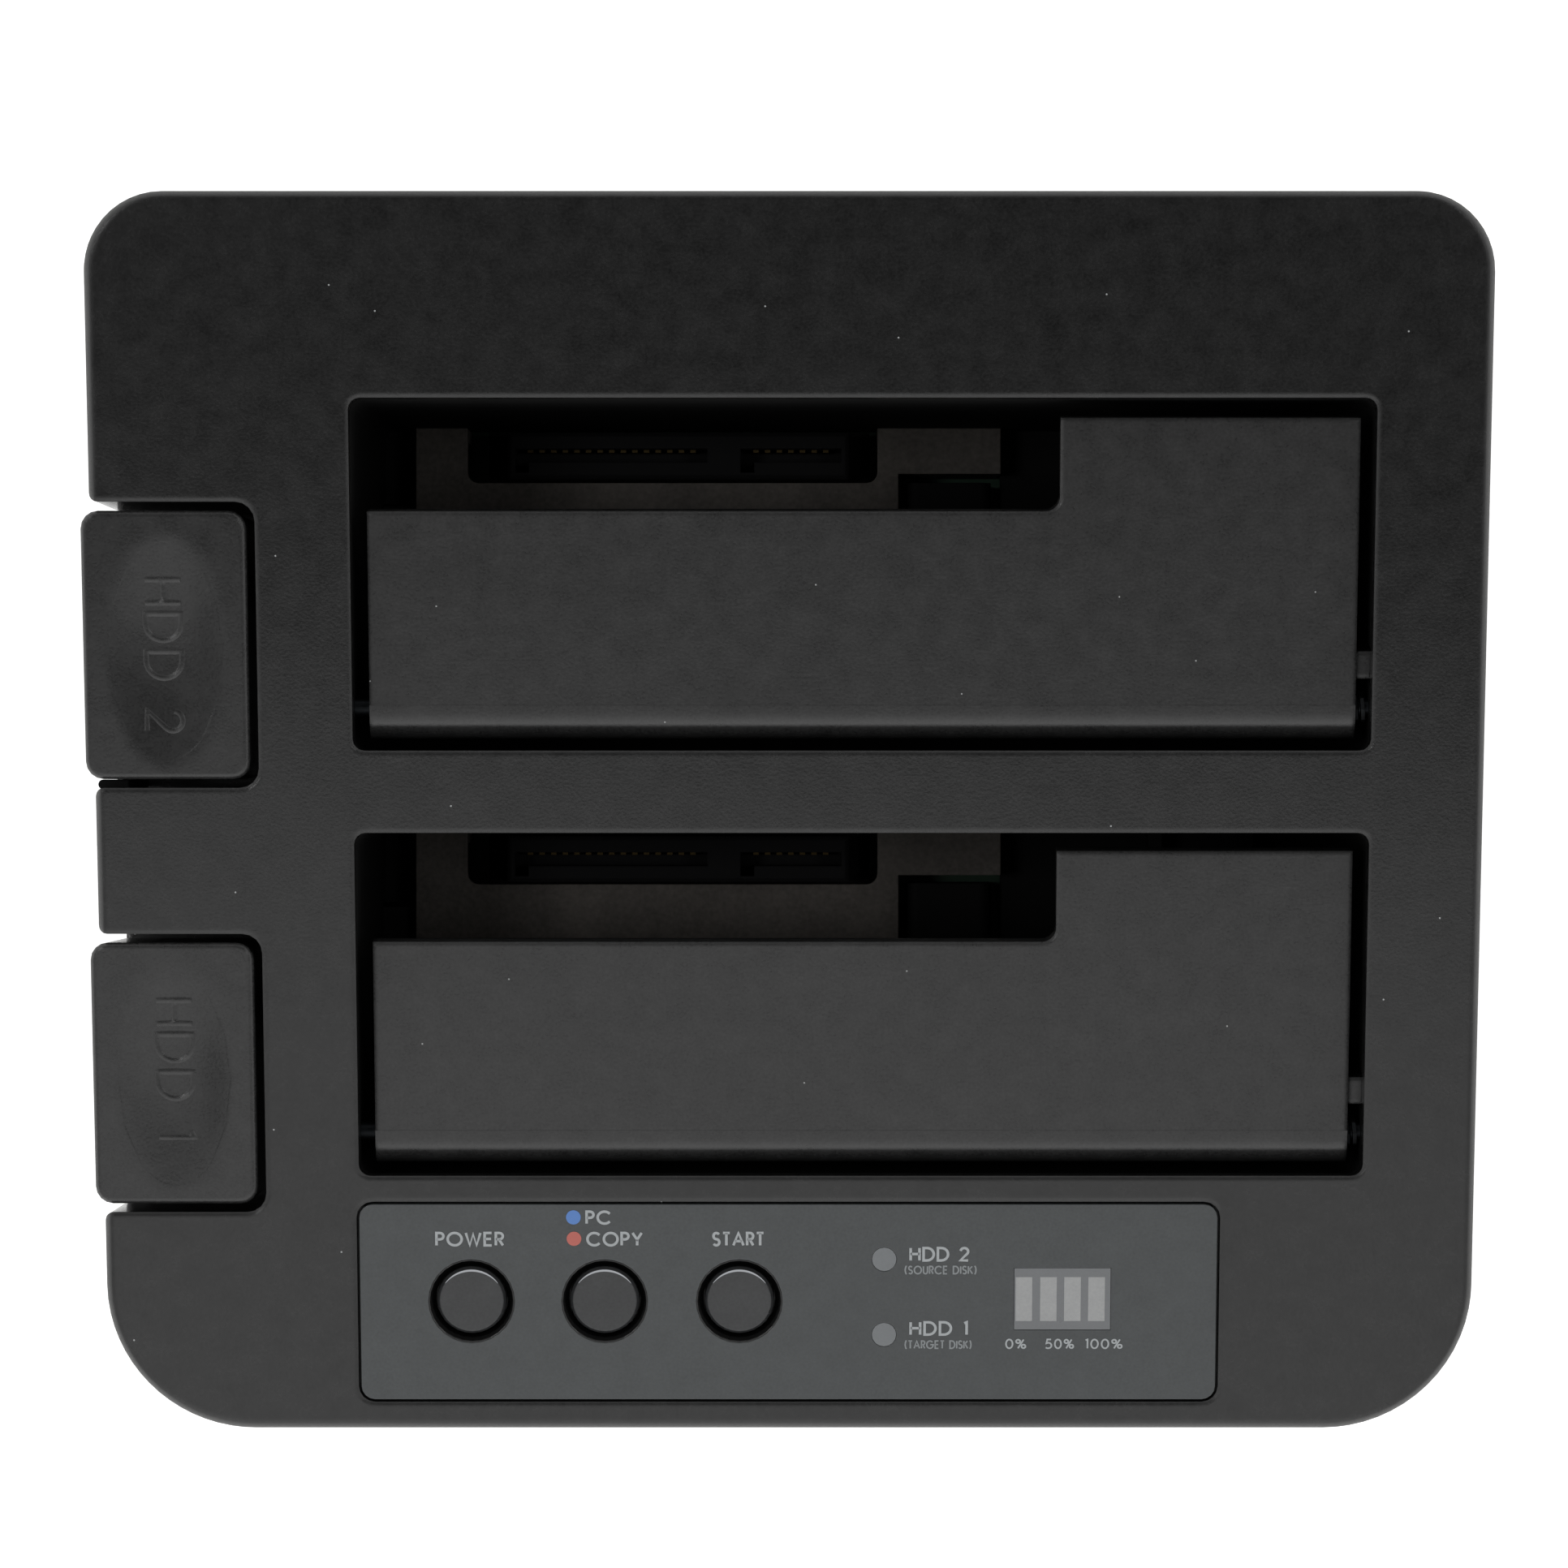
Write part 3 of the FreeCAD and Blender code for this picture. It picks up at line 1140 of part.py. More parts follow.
def plunger(index):
    return on_panel(peg(PLUNGER_R, (BUTTON_XS[index], BUTTON_Y, -BUTTON_DROP), (0, 0, -1), PLUNGER_L))


def status_light_pipes():
    """Two clear pins, flush in the panel, each with a collar under the case top."""
    end = -PANEL_BOARD_DROP + LED_H + LED_GAP
    pipes = []
    for y in LIGHT_YS:
        pin = peg(LIGHT_R, (LIGHT_X, y, -TOP_T), (0, 0, 1), TOP_T, ROUND_SIDES)
        collar = peg(LIGHT_R + LIGHT_LEDGE, (LIGHT_X, y, -TOP_T), (0, 0, -1), LIGHT_LEDGE)
        tail = peg(LIGHT_R, (LIGHT_X, y, -TOP_T), (0, 0, -1), -TOP_T - end)
        pipes.append(fuse([pin, collar, tail]))
    return on_panel(Part.makeCompound(pipes))


def level_window():
    x1 = WINDOW_X0 + LEVEL_W
    y1 = WINDOW_Y0 + LEVEL_L
    end = -PANEL_BOARD_DROP + LED_H + LED_GAP
    pane = box(WINDOW_X0, x1, WINDOW_Y0, y1, -TOP_T, 0)
    edge = LIGHT_LEDGE
    collar = box(WINDOW_X0 - edge, x1 + edge, WINDOW_Y0 - edge, y1 + edge, -TOP_T - edge, -TOP_T)
    fingers = []
    for x in level_xs():
        fingers.append(box(x - LED_SIZE / 2, x + LED_SIZE / 2, WINDOW_Y0 + 1, y1 - 1, end, -TOP_T - edge))
    return on_panel(fuse([pane, collar] + fingers))


def level_xs():
    middle = WINDOW_X0 + LEVEL_W / 2
    return [middle + (k - (BARS - 1) / 2) * BAR_PITCH for k in range(BARS)]


def panel_leds():
    places = [(LIGHT_X, y) for y in LIGHT_YS]
    places += [(x, WINDOW_Y0 + LEVEL_L / 2) for x in level_xs()]
    half = LED_SIZE / 2
    low = -PANEL_BOARD_DROP
    return on_panel(Part.makeCompound([box(x - half, x + half, y - half, y + half, low, low + LED_H)
                                       for x, y in places]))


def panel_board():
    half = PANEL_BOARD_D / 2
    low = -PANEL_BOARD_DROP - BOARD_T
    board = box(PANEL_BOARD_X0, PANEL_W - PANEL_BOARD_X1, -half, half, low, -PANEL_BOARD_DROP)
    return on_panel(cut(board, [peg(PANEL_SCREW_R + SCREW_PLAY, (x, y, low), (0, 0, 1), BOARD_T)
                                for x, y in panel_posts()]))


def panel_screws():
    seat = -PANEL_BOARD_DROP - BOARD_T
    length = BOARD_T + PANEL_SCREW_BITE - 0.5
    return on_panel(Part.makeCompound([screw(x, y, seat, PANEL_SCREW_R, length, PANEL_HEAD_R,
                                             PANEL_HEAD_T, True) for x, y in panel_posts()]))


def panel_switches():
    half = SWITCH_W / 2
    low = -PANEL_BOARD_DROP
    switches = []
    for x in BUTTON_XS:
        case = box(x - half, x + half, BUTTON_Y - half, BUTTON_Y + half, low, low + SWITCH_H)
        bore = peg(PLUNGER_R + PLUNGER_PLAY, (x, BUTTON_Y, low + 1), (0, 0, 1), SWITCH_H)
        switches.append(cut(case, [bore]))
    return on_panel(Part.makeCompound(switches))


# Ribbon cable
def ribbon_ends():
    """Lower plug's place on the main board and upper plug's in the panel's frame."""
    return Y_FRONT + BOARD_Y0 + RIBBON_Y, (RIBBON_X - PANEL_X0, RIBBON_TOP_Y)


def ribbon_sockets():
    y, (px, py) = ribbon_ends()
    w = PLUG_W / 2
    d = PLUG_D / 2
    lower = box(RIBBON_X - w, RIBBON_X + w, y - d, y + d, BOARD_TOP, BOARD_TOP + PLUG_H)
    slot = box(RIBBON_X - RIBBON_W / 2, RIBBON_X + RIBBON_W / 2, y - RIBBON_T / 2, y + RIBBON_T / 2,
               BOARD_TOP + PLUG_H - PLUG_GRIP, BOARD_TOP + PLUG_H)
    top = -PANEL_BOARD_DROP - BOARD_T
    upper = box(px - w, px + w, py - d, py + d, top - PLUG_H, top)
    upper_slot = box(px - RIBBON_W / 2, px + RIBBON_W / 2, py - RIBBON_T / 2, py + RIBBON_T / 2,
                     top - PLUG_H, top - PLUG_H + PLUG_GRIP)
    return Part.makeCompound([cut(lower, [slot]), on_panel(cut(upper, [upper_slot]))])


def ribbon_cable():
    """Flat cable: up from the main board, one soft bend, then square to the panel board."""
    y, (_, py) = ribbon_ends()
    start = V(0, y, BOARD_TOP + PLUG_H - PLUG_GRIP)
    top = -PANEL_BOARD_DROP - BOARD_T - PLUG_H + PLUG_GRIP
    up = V(0, -sin(SLOPE), cos(SLOPE))
    end = V(0, PANEL_Y, top_z(PANEL_Y)) + V(0, cos(SLOPE), sin(SLOPE)) * py + up * top
    low = start + V(0, 0, RIBBON_BEND)
    high = end - up * RIBBON_BEND
    curve = Part.BezierCurve()
    reach = (high - low).Length / 3
    curve.setPoles([low, low + V(0, 0, reach), high - up * reach, high])
    path = Part.Wire([Part.LineSegment(start, low).toShape(), curve.toShape(),
                      Part.LineSegment(high, end).toShape()])
    x0 = RIBBON_X - RIBBON_W / 2
    x1 = RIBBON_X + RIBBON_W / 2
    t = RIBBON_T / 2
    section = Part.makePolygon([V(x0, y - t, start.z), V(x1, y - t, start.z), V(x1, y + t, start.z),
                                V(x0, y + t, start.z), V(x0, y - t, start.z)])
    path.translate(V(RIBBON_X, 0, 0))
    return path.makePipeShell([section], True, False)


def nodes():
    yield "top_shell", top_shell()
    yield "bottom_shell", bottom_shell()
    yield "rubber_feet", rubber_feet()
    yield "case_screws", case_screws()
    yield "rear_panel", rear_panel()
    yield "usb_port", usb_port()
    yield "usb_core", usb_core()
    yield "esata_port", esata_port()
    yield "esata_core", esata_core()
    yield "power_jack", power_jack()
    yield "power_jack_pin", power_jack_pin()
    yield "main_board", main_board()
    yield "board_screws", board_screws()
    yield "controller_chips", controller_chips()
    yield "capacitors", capacitors()
    yield "control_panel", control_panel()
    yield "button_bezels", button_bezels()
    yield "status_light_pipes", status_light_pipes()
    yield "level_window", level_window()
    yield "panel_leds", panel_leds()
    yield "panel_board", panel_board()
    yield "panel_screws", panel_screws()
    yield "panel_switches", panel_switches()
    yield "ribbon_sockets", ribbon_sockets()
    yield "ribbon_cable", ribbon_cable()
    yield "frame_screws", frame_screws()
    for index, name in enumerate(BUTTON_NAMES):
        yield name + "_button", button(index)
        yield name + "_plunger", plunger(index)
    makers = {"slot_frame": slot_frame, "connector_guide": connector_guide, "drive_socket": drive_socket,
              "socket_contacts": socket_contacts, "flap": flap, "flap_pin": flap_pin,
              "flap_spring": flap_spring, "eject_key": eject_key, "key_spring": key_spring,
              "eject_lever": eject_lever, "lever_pin": lever_pin}
    for bay in BAYS:
        for name, make in makers.items():
            yield f"{name}_{bay}", make(bay)


def main():
    os.makedirs("parts", exist_ok=True)
    for name, shape in nodes():
        shape.translate(V(SHIFT_X, 0, 0))
        shape.exportStep(f"parts/{name}.step")


main()
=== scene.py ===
"""Looks of a two-bay drive duplicator dock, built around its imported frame.

Everything is in metres in the frame's own axes: X to the right, Y to the back, Z up from the table.
"""

import json
from math import atan2, cos, pi, radians, sin, tan

import bpy
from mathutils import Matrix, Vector


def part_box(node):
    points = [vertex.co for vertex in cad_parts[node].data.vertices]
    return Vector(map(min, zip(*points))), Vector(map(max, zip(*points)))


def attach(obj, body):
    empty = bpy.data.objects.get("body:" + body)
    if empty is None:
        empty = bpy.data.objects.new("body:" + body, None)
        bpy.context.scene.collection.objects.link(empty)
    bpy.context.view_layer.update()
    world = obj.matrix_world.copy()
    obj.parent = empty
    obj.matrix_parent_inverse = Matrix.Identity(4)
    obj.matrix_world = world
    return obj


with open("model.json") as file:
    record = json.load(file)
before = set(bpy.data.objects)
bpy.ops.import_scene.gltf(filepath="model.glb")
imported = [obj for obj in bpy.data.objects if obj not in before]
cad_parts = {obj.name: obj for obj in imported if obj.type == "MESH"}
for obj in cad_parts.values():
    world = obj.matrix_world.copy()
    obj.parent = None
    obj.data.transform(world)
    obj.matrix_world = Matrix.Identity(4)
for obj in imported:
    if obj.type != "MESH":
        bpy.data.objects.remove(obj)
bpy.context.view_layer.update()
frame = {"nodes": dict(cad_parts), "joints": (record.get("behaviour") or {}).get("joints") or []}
nodes = frame["nodes"]

# Camera
# A long lens looks straight down on the dock from about 0.6 m above the table. The dock's back is towards the
# upper edge of the view.
camera = bpy.data.objects.new("camera", bpy.data.cameras.new("camera"))
bpy.context.scene.collection.objects.link(camera)
camera.location = (-0.0001, 0.0039, 0.622)
camera.data.lens = 126.0
camera.data.sensor_width = 36.0
bpy.context.scene.camera = camera
bpy.context.scene.view_settings.view_transform = "Standard"


# Floor
# A large sheet of white paper, laid flat and matt. It glows white to the camera and in reflections, and its
# own face takes a soft shadow.
def linear(hex_colour):
    """The linear colour, with alpha, of an sRGB hex value."""
    channels = [int(hex_colour[k:k + 2], 16) / 255 for k in (1, 3, 5)]
    return [c / 12.92 if c <= 0.04045 else ((c + 0.055) / 1.055) ** 2.4 for c in channels] + [1.0]


def add(tree, kind, inputs, **attributes):
    """Add a node, set its attributes, and set or link its inputs."""
    node = tree.nodes.new(kind)
    for name, value in attributes.items():
        setattr(node, name, value)
    for name, value in inputs.items():
        if isinstance(value, bpy.types.NodeSocket):
            tree.links.new(value, node.inputs[name])
        else:
            node.inputs[name].default_value = value
    return node


def new_tree(name):
    """An empty material, its node tree and its output node."""
    material = bpy.data.materials.new(name)
    material.use_nodes = True
    material.node_tree.nodes.clear()
    return material, material.node_tree, material.node_tree.nodes.new("ShaderNodeOutputMaterial")


def form(name, points, faces, material, smooth=False):
    """A piece made of points and faces, in one finish."""
    mesh = bpy.data.meshes.new(name)
    mesh.from_pydata(points, [], faces)
    if smooth:
        mesh.shade_smooth()
    mesh.materials.append(material)
    thing = bpy.data.objects.new(name, mesh)
    bpy.context.scene.collection.objects.link(thing)
    return thing


FLOOR_HALF = 12.0
FLOOR_GLOW = 0.65
# Matt paper: an even white without any sheen
floor_paper, tree, output = new_tree("white_paper_sweep")
rays = add(tree, "ShaderNodeLightPath", {})
seen = add(tree, "ShaderNodeMath", {0: rays.outputs["Is Camera Ray"], 1: rays.outputs["Is Glossy Ray"]},
           operation="ADD")
seen = add(tree, "ShaderNodeMath", {0: seen.outputs[0], 1: rays.outputs["Is Transmission Ray"]},
           operation="ADD", use_clamp=True)
glow = add(tree, "ShaderNodeMath", {0: seen.outputs[0], 1: FLOOR_GLOW}, operation="MULTIPLY")
paper = add(tree, "ShaderNodeBsdfDiffuse", {"Color": linear("#f4f4f2")})
light = add(tree, "ShaderNodeEmission", {"Color": linear("#ffffff"), "Strength": glow.outputs[0]})
both = add(tree, "ShaderNodeAddShader", {0: paper.outputs[0], 1: light.outputs[0]})
tree.links.new(both.outputs[0], output.inputs["Surface"])
floor_corners = [(-FLOOR_HALF, -FLOOR_HALF, 0), (FLOOR_HALF, -FLOOR_HALF, 0),
                 (FLOOR_HALF, FLOOR_HALF, 0), (-FLOOR_HALF, FLOOR_HALF, 0)]
floor = form("floor", floor_corners, [range(4)], floor_paper)

# Lights
# A softbox in front and above gives the sheen that fades towards the back, two small ones high at the sides
# reach down into the bays, and the white walls of the room, dark overhead, light the rest evenly.
WALL = 1.25
WALL_TOP = radians(30)
CEILING = 0.04
CEILING_EDGE = radians(60)
room = bpy.data.worlds.new("room")
room.use_nodes = True
tree = room.node_tree
way = add(tree, "ShaderNodeTexCoord", {})
height = add(tree, "ShaderNodeSeparateXYZ", {0: way.outputs["Generated"]})
fade = add(tree, "ShaderNodeMapRange", {"Value": height.outputs["Z"], "From Min": sin(WALL_TOP),
                                        "From Max": sin(CEILING_EDGE), "To Min": WALL, "To Max": CEILING})
tree.links.new(fade.outputs[0], tree.nodes["Background"].inputs["Strength"])
tree.nodes["Background"].inputs["Color"].default_value = linear("#ffffff")
bpy.context.scene.world = room
LAMP_AIM = Vector((0, 0, 0.06))


def softbox(name, place, size, watts):
    """A square lamp that faces the middle of the dock's top."""
    lamp = bpy.data.lights.new(name, "AREA")
    lamp.size = size
    lamp.energy = watts
    thing = bpy.data.objects.new(name, lamp)
    thing.location = place
    thing.rotation_euler = (LAMP_AIM - Vector(place)).to_track_quat("-Z", "Y").to_euler()
    bpy.context.scene.collection.objects.link(thing)


softbox("front_softbox", (-0.045, -0.629, 0.837), 0.7, 1.61)
softbox("left_softbox", (-0.526, 0.0, 1.139), 0.25, 1.9)
softbox("right_softbox", (0.526, 0.0, 1.139), 0.25, 1.0)

# Case shells
# Two halves injection-moulded in black ABS with a fine spark-eroded grain, screwed together from below. The
# moulded edges are slightly rounded, and a little dust lies on the top.
MOTTLE_GRAINS = 9
SATIN_SPREAD = 0.02
DUST_STEP_MM = 21
DUST_LEVEL = 0.9


def plastic(name, colour, roughness, grain_mm=0.3, grain=0.12, mottle=0.12, edge_mm=0.25, dust=0.0,
            gloss=0.5):
    """Moulded plastic with a slight mottling, a bumpy grain, softened edges and specks of dust.

    A real spark-eroded grain is under 0.1 mm wide, too fine to show, so it is drawn coarser, and a quarter
    as deep as it is wide. The clouds of the mottling are nine grains across. The specks, with dust as their
    radius in millimetres, lie about 21 mm apart on faces that are nearly level.
    """
    material, tree, output = new_tree(name)
    place = add(tree, "ShaderNodeTexCoord", {})
    spots = add(tree, "ShaderNodeTexNoise", {"Vector": place.outputs["Object"], "Detail": 4.0,
                                             "Scale": 1000 / (grain_mm * MOTTLE_GRAINS), "Roughness": 0.6})
    shade = linear(colour)
    dark = [c * (1 - mottle) for c in shade[:3]] + [1.0]
    pale = [c * (1 + mottle) for c in shade[:3]] + [1.0]
    fine = add(tree, "ShaderNodeTexNoise", {"Vector": place.outputs["Object"], "Scale": 1000 / grain_mm,
                                            "Detail": 2.0})
    blend = add(tree, "ShaderNodeMath", {0: spots.outputs["Fac"], 1: fine.outputs["Fac"]}, operation="ADD")
    blend = add(tree, "ShaderNodeMapRange", {"Value": blend.outputs[0], "From Min": 0.6, "From Max": 1.4})
    tint = add(tree, "ShaderNodeMix", {"Factor": blend.outputs[0], 6: dark, 7: pale}, data_type="RGBA")
    base = tint.outputs[2]
    if dust:
        flecks = add(tree, "ShaderNodeTexVoronoi", {"Vector": place.outputs["Object"],
                                                    "Scale": 1000 / DUST_STEP_MM}, voronoi_dimensions="2D")
        near = add(tree, "ShaderNodeMath", {0: flecks.outputs["Distance"], 1: dust / DUST_STEP_MM},
                   operation="LESS_THAN")
        facing = add(tree, "ShaderNodeNewGeometry", {})
        up = add(tree, "ShaderNodeSeparateXYZ", {0: facing.outputs["Normal"]})
        flat = add(tree, "ShaderNodeMath", {0: up.outputs["Z"], 1: DUST_LEVEL}, operation="GREATER_THAN")
        mask = add(tree, "ShaderNodeMath", {0: near.outputs[0], 1: flat.outputs[0]}, operation="MULTIPLY")
        dusty = add(tree, "ShaderNodeMix", {"Factor": mask.outputs[0], 6: base, 7: linear("#9a9c9c")},
                    data_type="RGBA")
        base = dusty.outputs[2]
    soft = add(tree, "ShaderNodeBevel", {"Radius": edge_mm / 1000}, samples=6)
    bump = add(tree, "ShaderNodeBump", {"Height": fine.outputs["Fac"], "Strength": grain,
                                        "Distance": grain_mm / 4000, "Normal": soft.outputs[0]})
    satin = add(tree, "ShaderNodeMapRange", {"Value": spots.outputs["Fac"],
                                             "To Min": roughness - SATIN_SPREAD,
                                             "To Max": roughness + SATIN_SPREAD})
    shader = add(tree, "ShaderNodeBsdfPrincipled", {"Base Color": base, "Roughness": satin.outputs[0],
                                                    "Specular IOR Level": gloss, "Normal": bump.outputs[0],
                                                    "IOR": 1.5})
    tree.links.new(shader.outputs[0], output.inputs["Surface"])
    return material


def dress(material, *names):
    """Give CAD nodes a finish."""
    for name in names:
        mesh = nodes[name].data
        mesh.materials.clear()
        mesh.materials.append(material)


# Textured black ABS: a cloudy grey sheen, thin light lines along the edges and a few pale specks
case_abs = plastic("black_textured_abs", "#1a1a1a", 0.2, mottle=0.6, edge_mm=0.8, dust=0.09)
# The same ABS on the lower half, a little duller and without dust
base_abs = plastic("black_textured_abs_base", "#1b1b1b", 0.24, mottle=0.6)
dress(case_abs, "top_shell")
dress(base_abs, "bottom_shell")

# Slot frames
# The wells of the two bays, which guide the drives. They are moulded in black ABS and screwed up by their
# ears against posts under the case top.

# ABS left matt inside the wells, almost without a sheen: black ABS, drawn darker than the case as painted
# shade
painted_shade_abs = plastic("black_matt_abs_painted_shade", "#0b0b0b", 0.8, grain=0.06, gloss=0.15)
dress(painted_shade_abs, "slot_frame_1", "slot_frame_2")

# Shade filler
# A thin black piece stands on the sill of the side wall, in the gap in front of the rear key, and closes the
# gap's open end: painted shade, a dark blocker where the gap shows only shade. Its outer edge is rounded.
RIB_LONG = 0.0026
RIB_THICK = 0.00102
RIB_BOTTOM = 0.0418
RIB_TOP = 0.0588
RIB_INSET = 0.00098
RIB_PLAY = 0.00003
RIB_STEPS = 8
low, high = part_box("eject_key_2")
end = Vector((low.x + RIB_INSET + RIB_THICK / 2, low.y - RIB_PLAY - RIB_THICK / 2, 0))
outline = []
for k in range(RIB_STEPS + 1):
    turn = pi / 2 + pi * k / RIB_STEPS
    outline.append(end + Vector((cos(turn), sin(turn), 0)) * (RIB_THICK / 2))
outline += [end + Vector((RIB_LONG, -RIB_THICK / 2, 0)), end + Vector((RIB_LONG, RIB_THICK / 2, 0))]
size = len(outline)
points = [spot + Vector((0, 0, z)) for z in (RIB_BOTTOM, RIB_TOP) for spot in outline]
faces = [(k, (k + 1) % size, size + (k + 1) % size, size + k) for k in range(size)]
faces += [range(size - 1, -1, -1), range(size, 2 * size)]
# A dark piece as painted shade in the key's gap
shade_filler = form("key_2_painted_shade_filler", points, faces, painted_shade_abs)
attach(shade_filler, "base")

# Connector guides
# Plates moulded in dark brown-grey ABS round the drive sockets, standing over the main board in the frames'
# openings. The drives stand on them and leave light scuffs.

# Dull ABS with a coarse cloudy surface: a warm dark grey among the blacks
guide_abs = plastic("brown_grey_moulded_abs", "#514d49", 0.7, grain_mm=0.5, mottle=0.3, gloss=0.25)
dress(guide_abs, "connector_guide_1", "connector_guide_2")

# Drive sockets
# Receptacles moulded in glass-filled nylon and soldered to the main board, with gold-flashed bronze blades
# pressed into their slots.

# Nylon dulled by its glass fibres: a flat black
socket_nylon = plastic("black_glass_filled_nylon", "#111112", 0.85, grain_mm=0.2, gloss=0.2)
dress(socket_nylon, "drive_socket_1", "drive_socket_2")


def metal(name, colour, roughness, brush_mm=0.15, stretch=(1, 1, 1)):
    """Metal with fine marks, drawn out along an axis where the stretch is small.

    The marks are drawn a few times wider than real ones, which are too fine to show.
    """
    material, tree, output = new_tree(name)
    place = add(tree, "ShaderNodeTexCoord", {})
    mapped = add(tree, "ShaderNodeMapping", {"Vector": place.outputs["Object"], "Scale": stretch})
    marks = add(tree, "ShaderNodeTexNoise", {"Vector": mapped.outputs[0], "Scale": 1000 / brush_mm,
                                             "Detail": 3.0})
    rough = add(tree, "ShaderNodeMapRange", {"Value": marks.outputs["Fac"], "To Min": roughness - 0.08,
                                             "To Max": roughness + 0.1})
    bump = add(tree, "ShaderNodeBump", {"Height": marks.outputs["Fac"], "Strength": 0.08,
                                        "Distance": brush_mm / 4000})
    shader = add(tree, "ShaderNodeBsdfPrincipled", {"Base Color": linear(colour), "Metallic": 1.0,
                                                    "Roughness": rough.outputs[0], "Normal": bump.outputs[0]})
    tree.links.new(shader.outputs[0], output.inputs["Surface"])
    return material


# A thin gold flash on bronze, deep in the slots: its colour darkened to a dull brown as painted shade
gold = metal("gold_flashed_bronze_painted_shade", "#3d3320", 0.55)
dress(gold, "socket_contacts_1", "socket_contacts_2")

# Flaps
# Leaves moulded in satin black ABS, each turning on a steel pin with a torsion spring. The front edge is
# rolled over the hinge in a soft oval, which catches the light as a band.

# Finer ABS than the case's: a slightly lighter, softer grey sheen
flap_abs = plastic("satin_black_abs_flap", "#252525", 0.25, mottle=0.45, edge_mm=0.7, dust=0.08)
dress(flap_abs, "flap_1", "flap_2")
# Steel rod drawn dark, with fine marks along its length
drawn_steel = metal("dark_drawn_steel", "#26282a", 0.5, stretch=(0.05, 1, 1))
# Oiled wire: dark grey with a soft shine
spring_steel = metal("oiled_spring_steel_wire", "#3c3e40", 0.45)
dress(drawn_steel, "flap_pin_1", "flap_pin_2")
dress(spring_steel, "flap_spring_1", "flap_spring_2")
press = Vector(next(j["axis"] for j in frame["joints"] if j["child"] == "power_button"))
slope = atan2(press.y, -press.z)
up_slope = Vector((0, cos(slope), sin(slope)))
out = Vector((0, -sin(slope), cos(slope)))
FLAP_WIDE = 0.10085
ROLL_R = 0.00243
ROLL_CORE_R = 0.98 * ROLL_R
ROLL_REACH = 0.00285
ROLL_LEAD = 0.0004
ROLL_TAIL = 0.0006
ROLL_STEPS = 24
for bay in (1, 2):
    hinge = Vector(next(j["pos_m"] for j in frame["joints"] if j["name"] == f"flap_{bay}_hinge"))
    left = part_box(f"flap_{bay}")[0].x
    section = [(ROLL_TAIL, ROLL_R)]
    core = [(0.0, ROLL_CORE_R)]
    for k in range(ROLL_STEPS + 1):
        turn = pi / 2 + pi * k / ROLL_STEPS
        section.append((ROLL_REACH * cos(turn) - ROLL_LEAD, ROLL_R * sin(turn)))
        core.append((ROLL_CORE_R * cos(turn), ROLL_CORE_R * sin(turn)))
    points, faces = [], []
    for x in (left, left + FLAP_WIDE):
        points += [Vector((x, hinge.y, hinge.z)) + up_slope * y + out * z for y, z in section]
    size = len(section)
    faces += [(k, k + 1, size + k + 1, size + k) for k in range(size - 1)]
    for x in (left, left + FLAP_WIDE):
        start = len(points)
        points += [Vector((x, hinge.y, hinge.z)) + up_slope * y + out * z for y, z in section + core]
        faces += [(start + k, start + k + 1, start + size + k + 1, start + size + k) for k in range(size - 1)]
    roll = form(f"flap_{bay}_roll", points, faces, flap_abs, smooth=True)
    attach(roll, f"flap_{bay}")

# Eject keys
# Keys moulded in textured black ABS, which slide in pockets at the left on springs. A long soft finger dish
# is moulded into each key's sloping top, and the bay's name stands in it in low relief.

# Handled ABS: darker patches and a worn sheen on its edges
key_abs = plastic("black_textured_abs_key", "#222222", 0.22, mottle=0.5, edge_mm=0.5)
dress(key_abs, "eject_key_1", "eject_key_2")
KEY_CHAMFER = 0.00035
KEY_RIM = 0.0006
KEY_CORNER = 12
FACE_LIFT = 0.00003
DISH_REACH = (0.0064, 0.0122)
DISH_DEPTH = 0.00048
DISH_SHIFT = 0.0006
RINGS = 26
SPOKES = 96


def on_key(key, x, y, lift):
    """A point on the top of a key, x and y from the middle of its dish."""
    low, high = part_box(key)
    place = Vector(((low.x + high.x) / 2 + x, (low.y + high.y) / 2 - DISH_SHIFT + y, high.z + lift))
    place.z += (place.y - high.y + KEY_CHAMFER) * tan(slope)
    near = 1 - (x / DISH_REACH[0]) ** 2 - (y / DISH_REACH[1]) ** 2
    if near > 0:
        place.z -= DISH_DEPTH * near ** 1.5
    return place


for bay in (1, 2):
    key = f"eject_key_{bay}"
    low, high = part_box(f"eject_key_{bay}")
    half = ((high.x - low.x) / 2 - KEY_RIM, (high.y - low.y) / 2 - KEY_RIM)
    points, faces = [on_key(key, 0, 0, FACE_LIFT)], []
    for ring in range(1, RINGS + 1):
        share = ring / RINGS
        for spoke in range(SPOKES):
            turn = 2 * pi * spoke / SPOKES
            squareness = abs(cos(turn) / half[0]) ** KEY_CORNER + abs(sin(turn) / half[1]) ** KEY_CORNER
            reach = squareness ** (-1 / KEY_CORNER) * share
            points.append(on_key(key, reach * cos(turn), reach * sin(turn) + DISH_SHIFT * share, FACE_LIFT))
            here = 1 + (ring - 1) * SPOKES + spoke
            beside = 1 + (ring - 1) * SPOKES + (spoke + 1) % SPOKES
            if ring == 1:
                faces.append((0, here, beside))
            else:
                faces.append((here - SPOKES, here, beside, beside - SPOKES))
    face = form(f"key_{bay}_face", points, faces, key_abs, smooth=True)
    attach(face, f"eject_key_{bay}")


def arc(x, y, rx, ry, start, end, steps=10):
    """Points of an arc, from one angle to another in degrees."""
    return [(x + rx * cos(radians(start + (end - start) * k / steps)),
             y + ry * sin(radians(start + (end - start) * k / steps))) for k in range(steps + 1)]


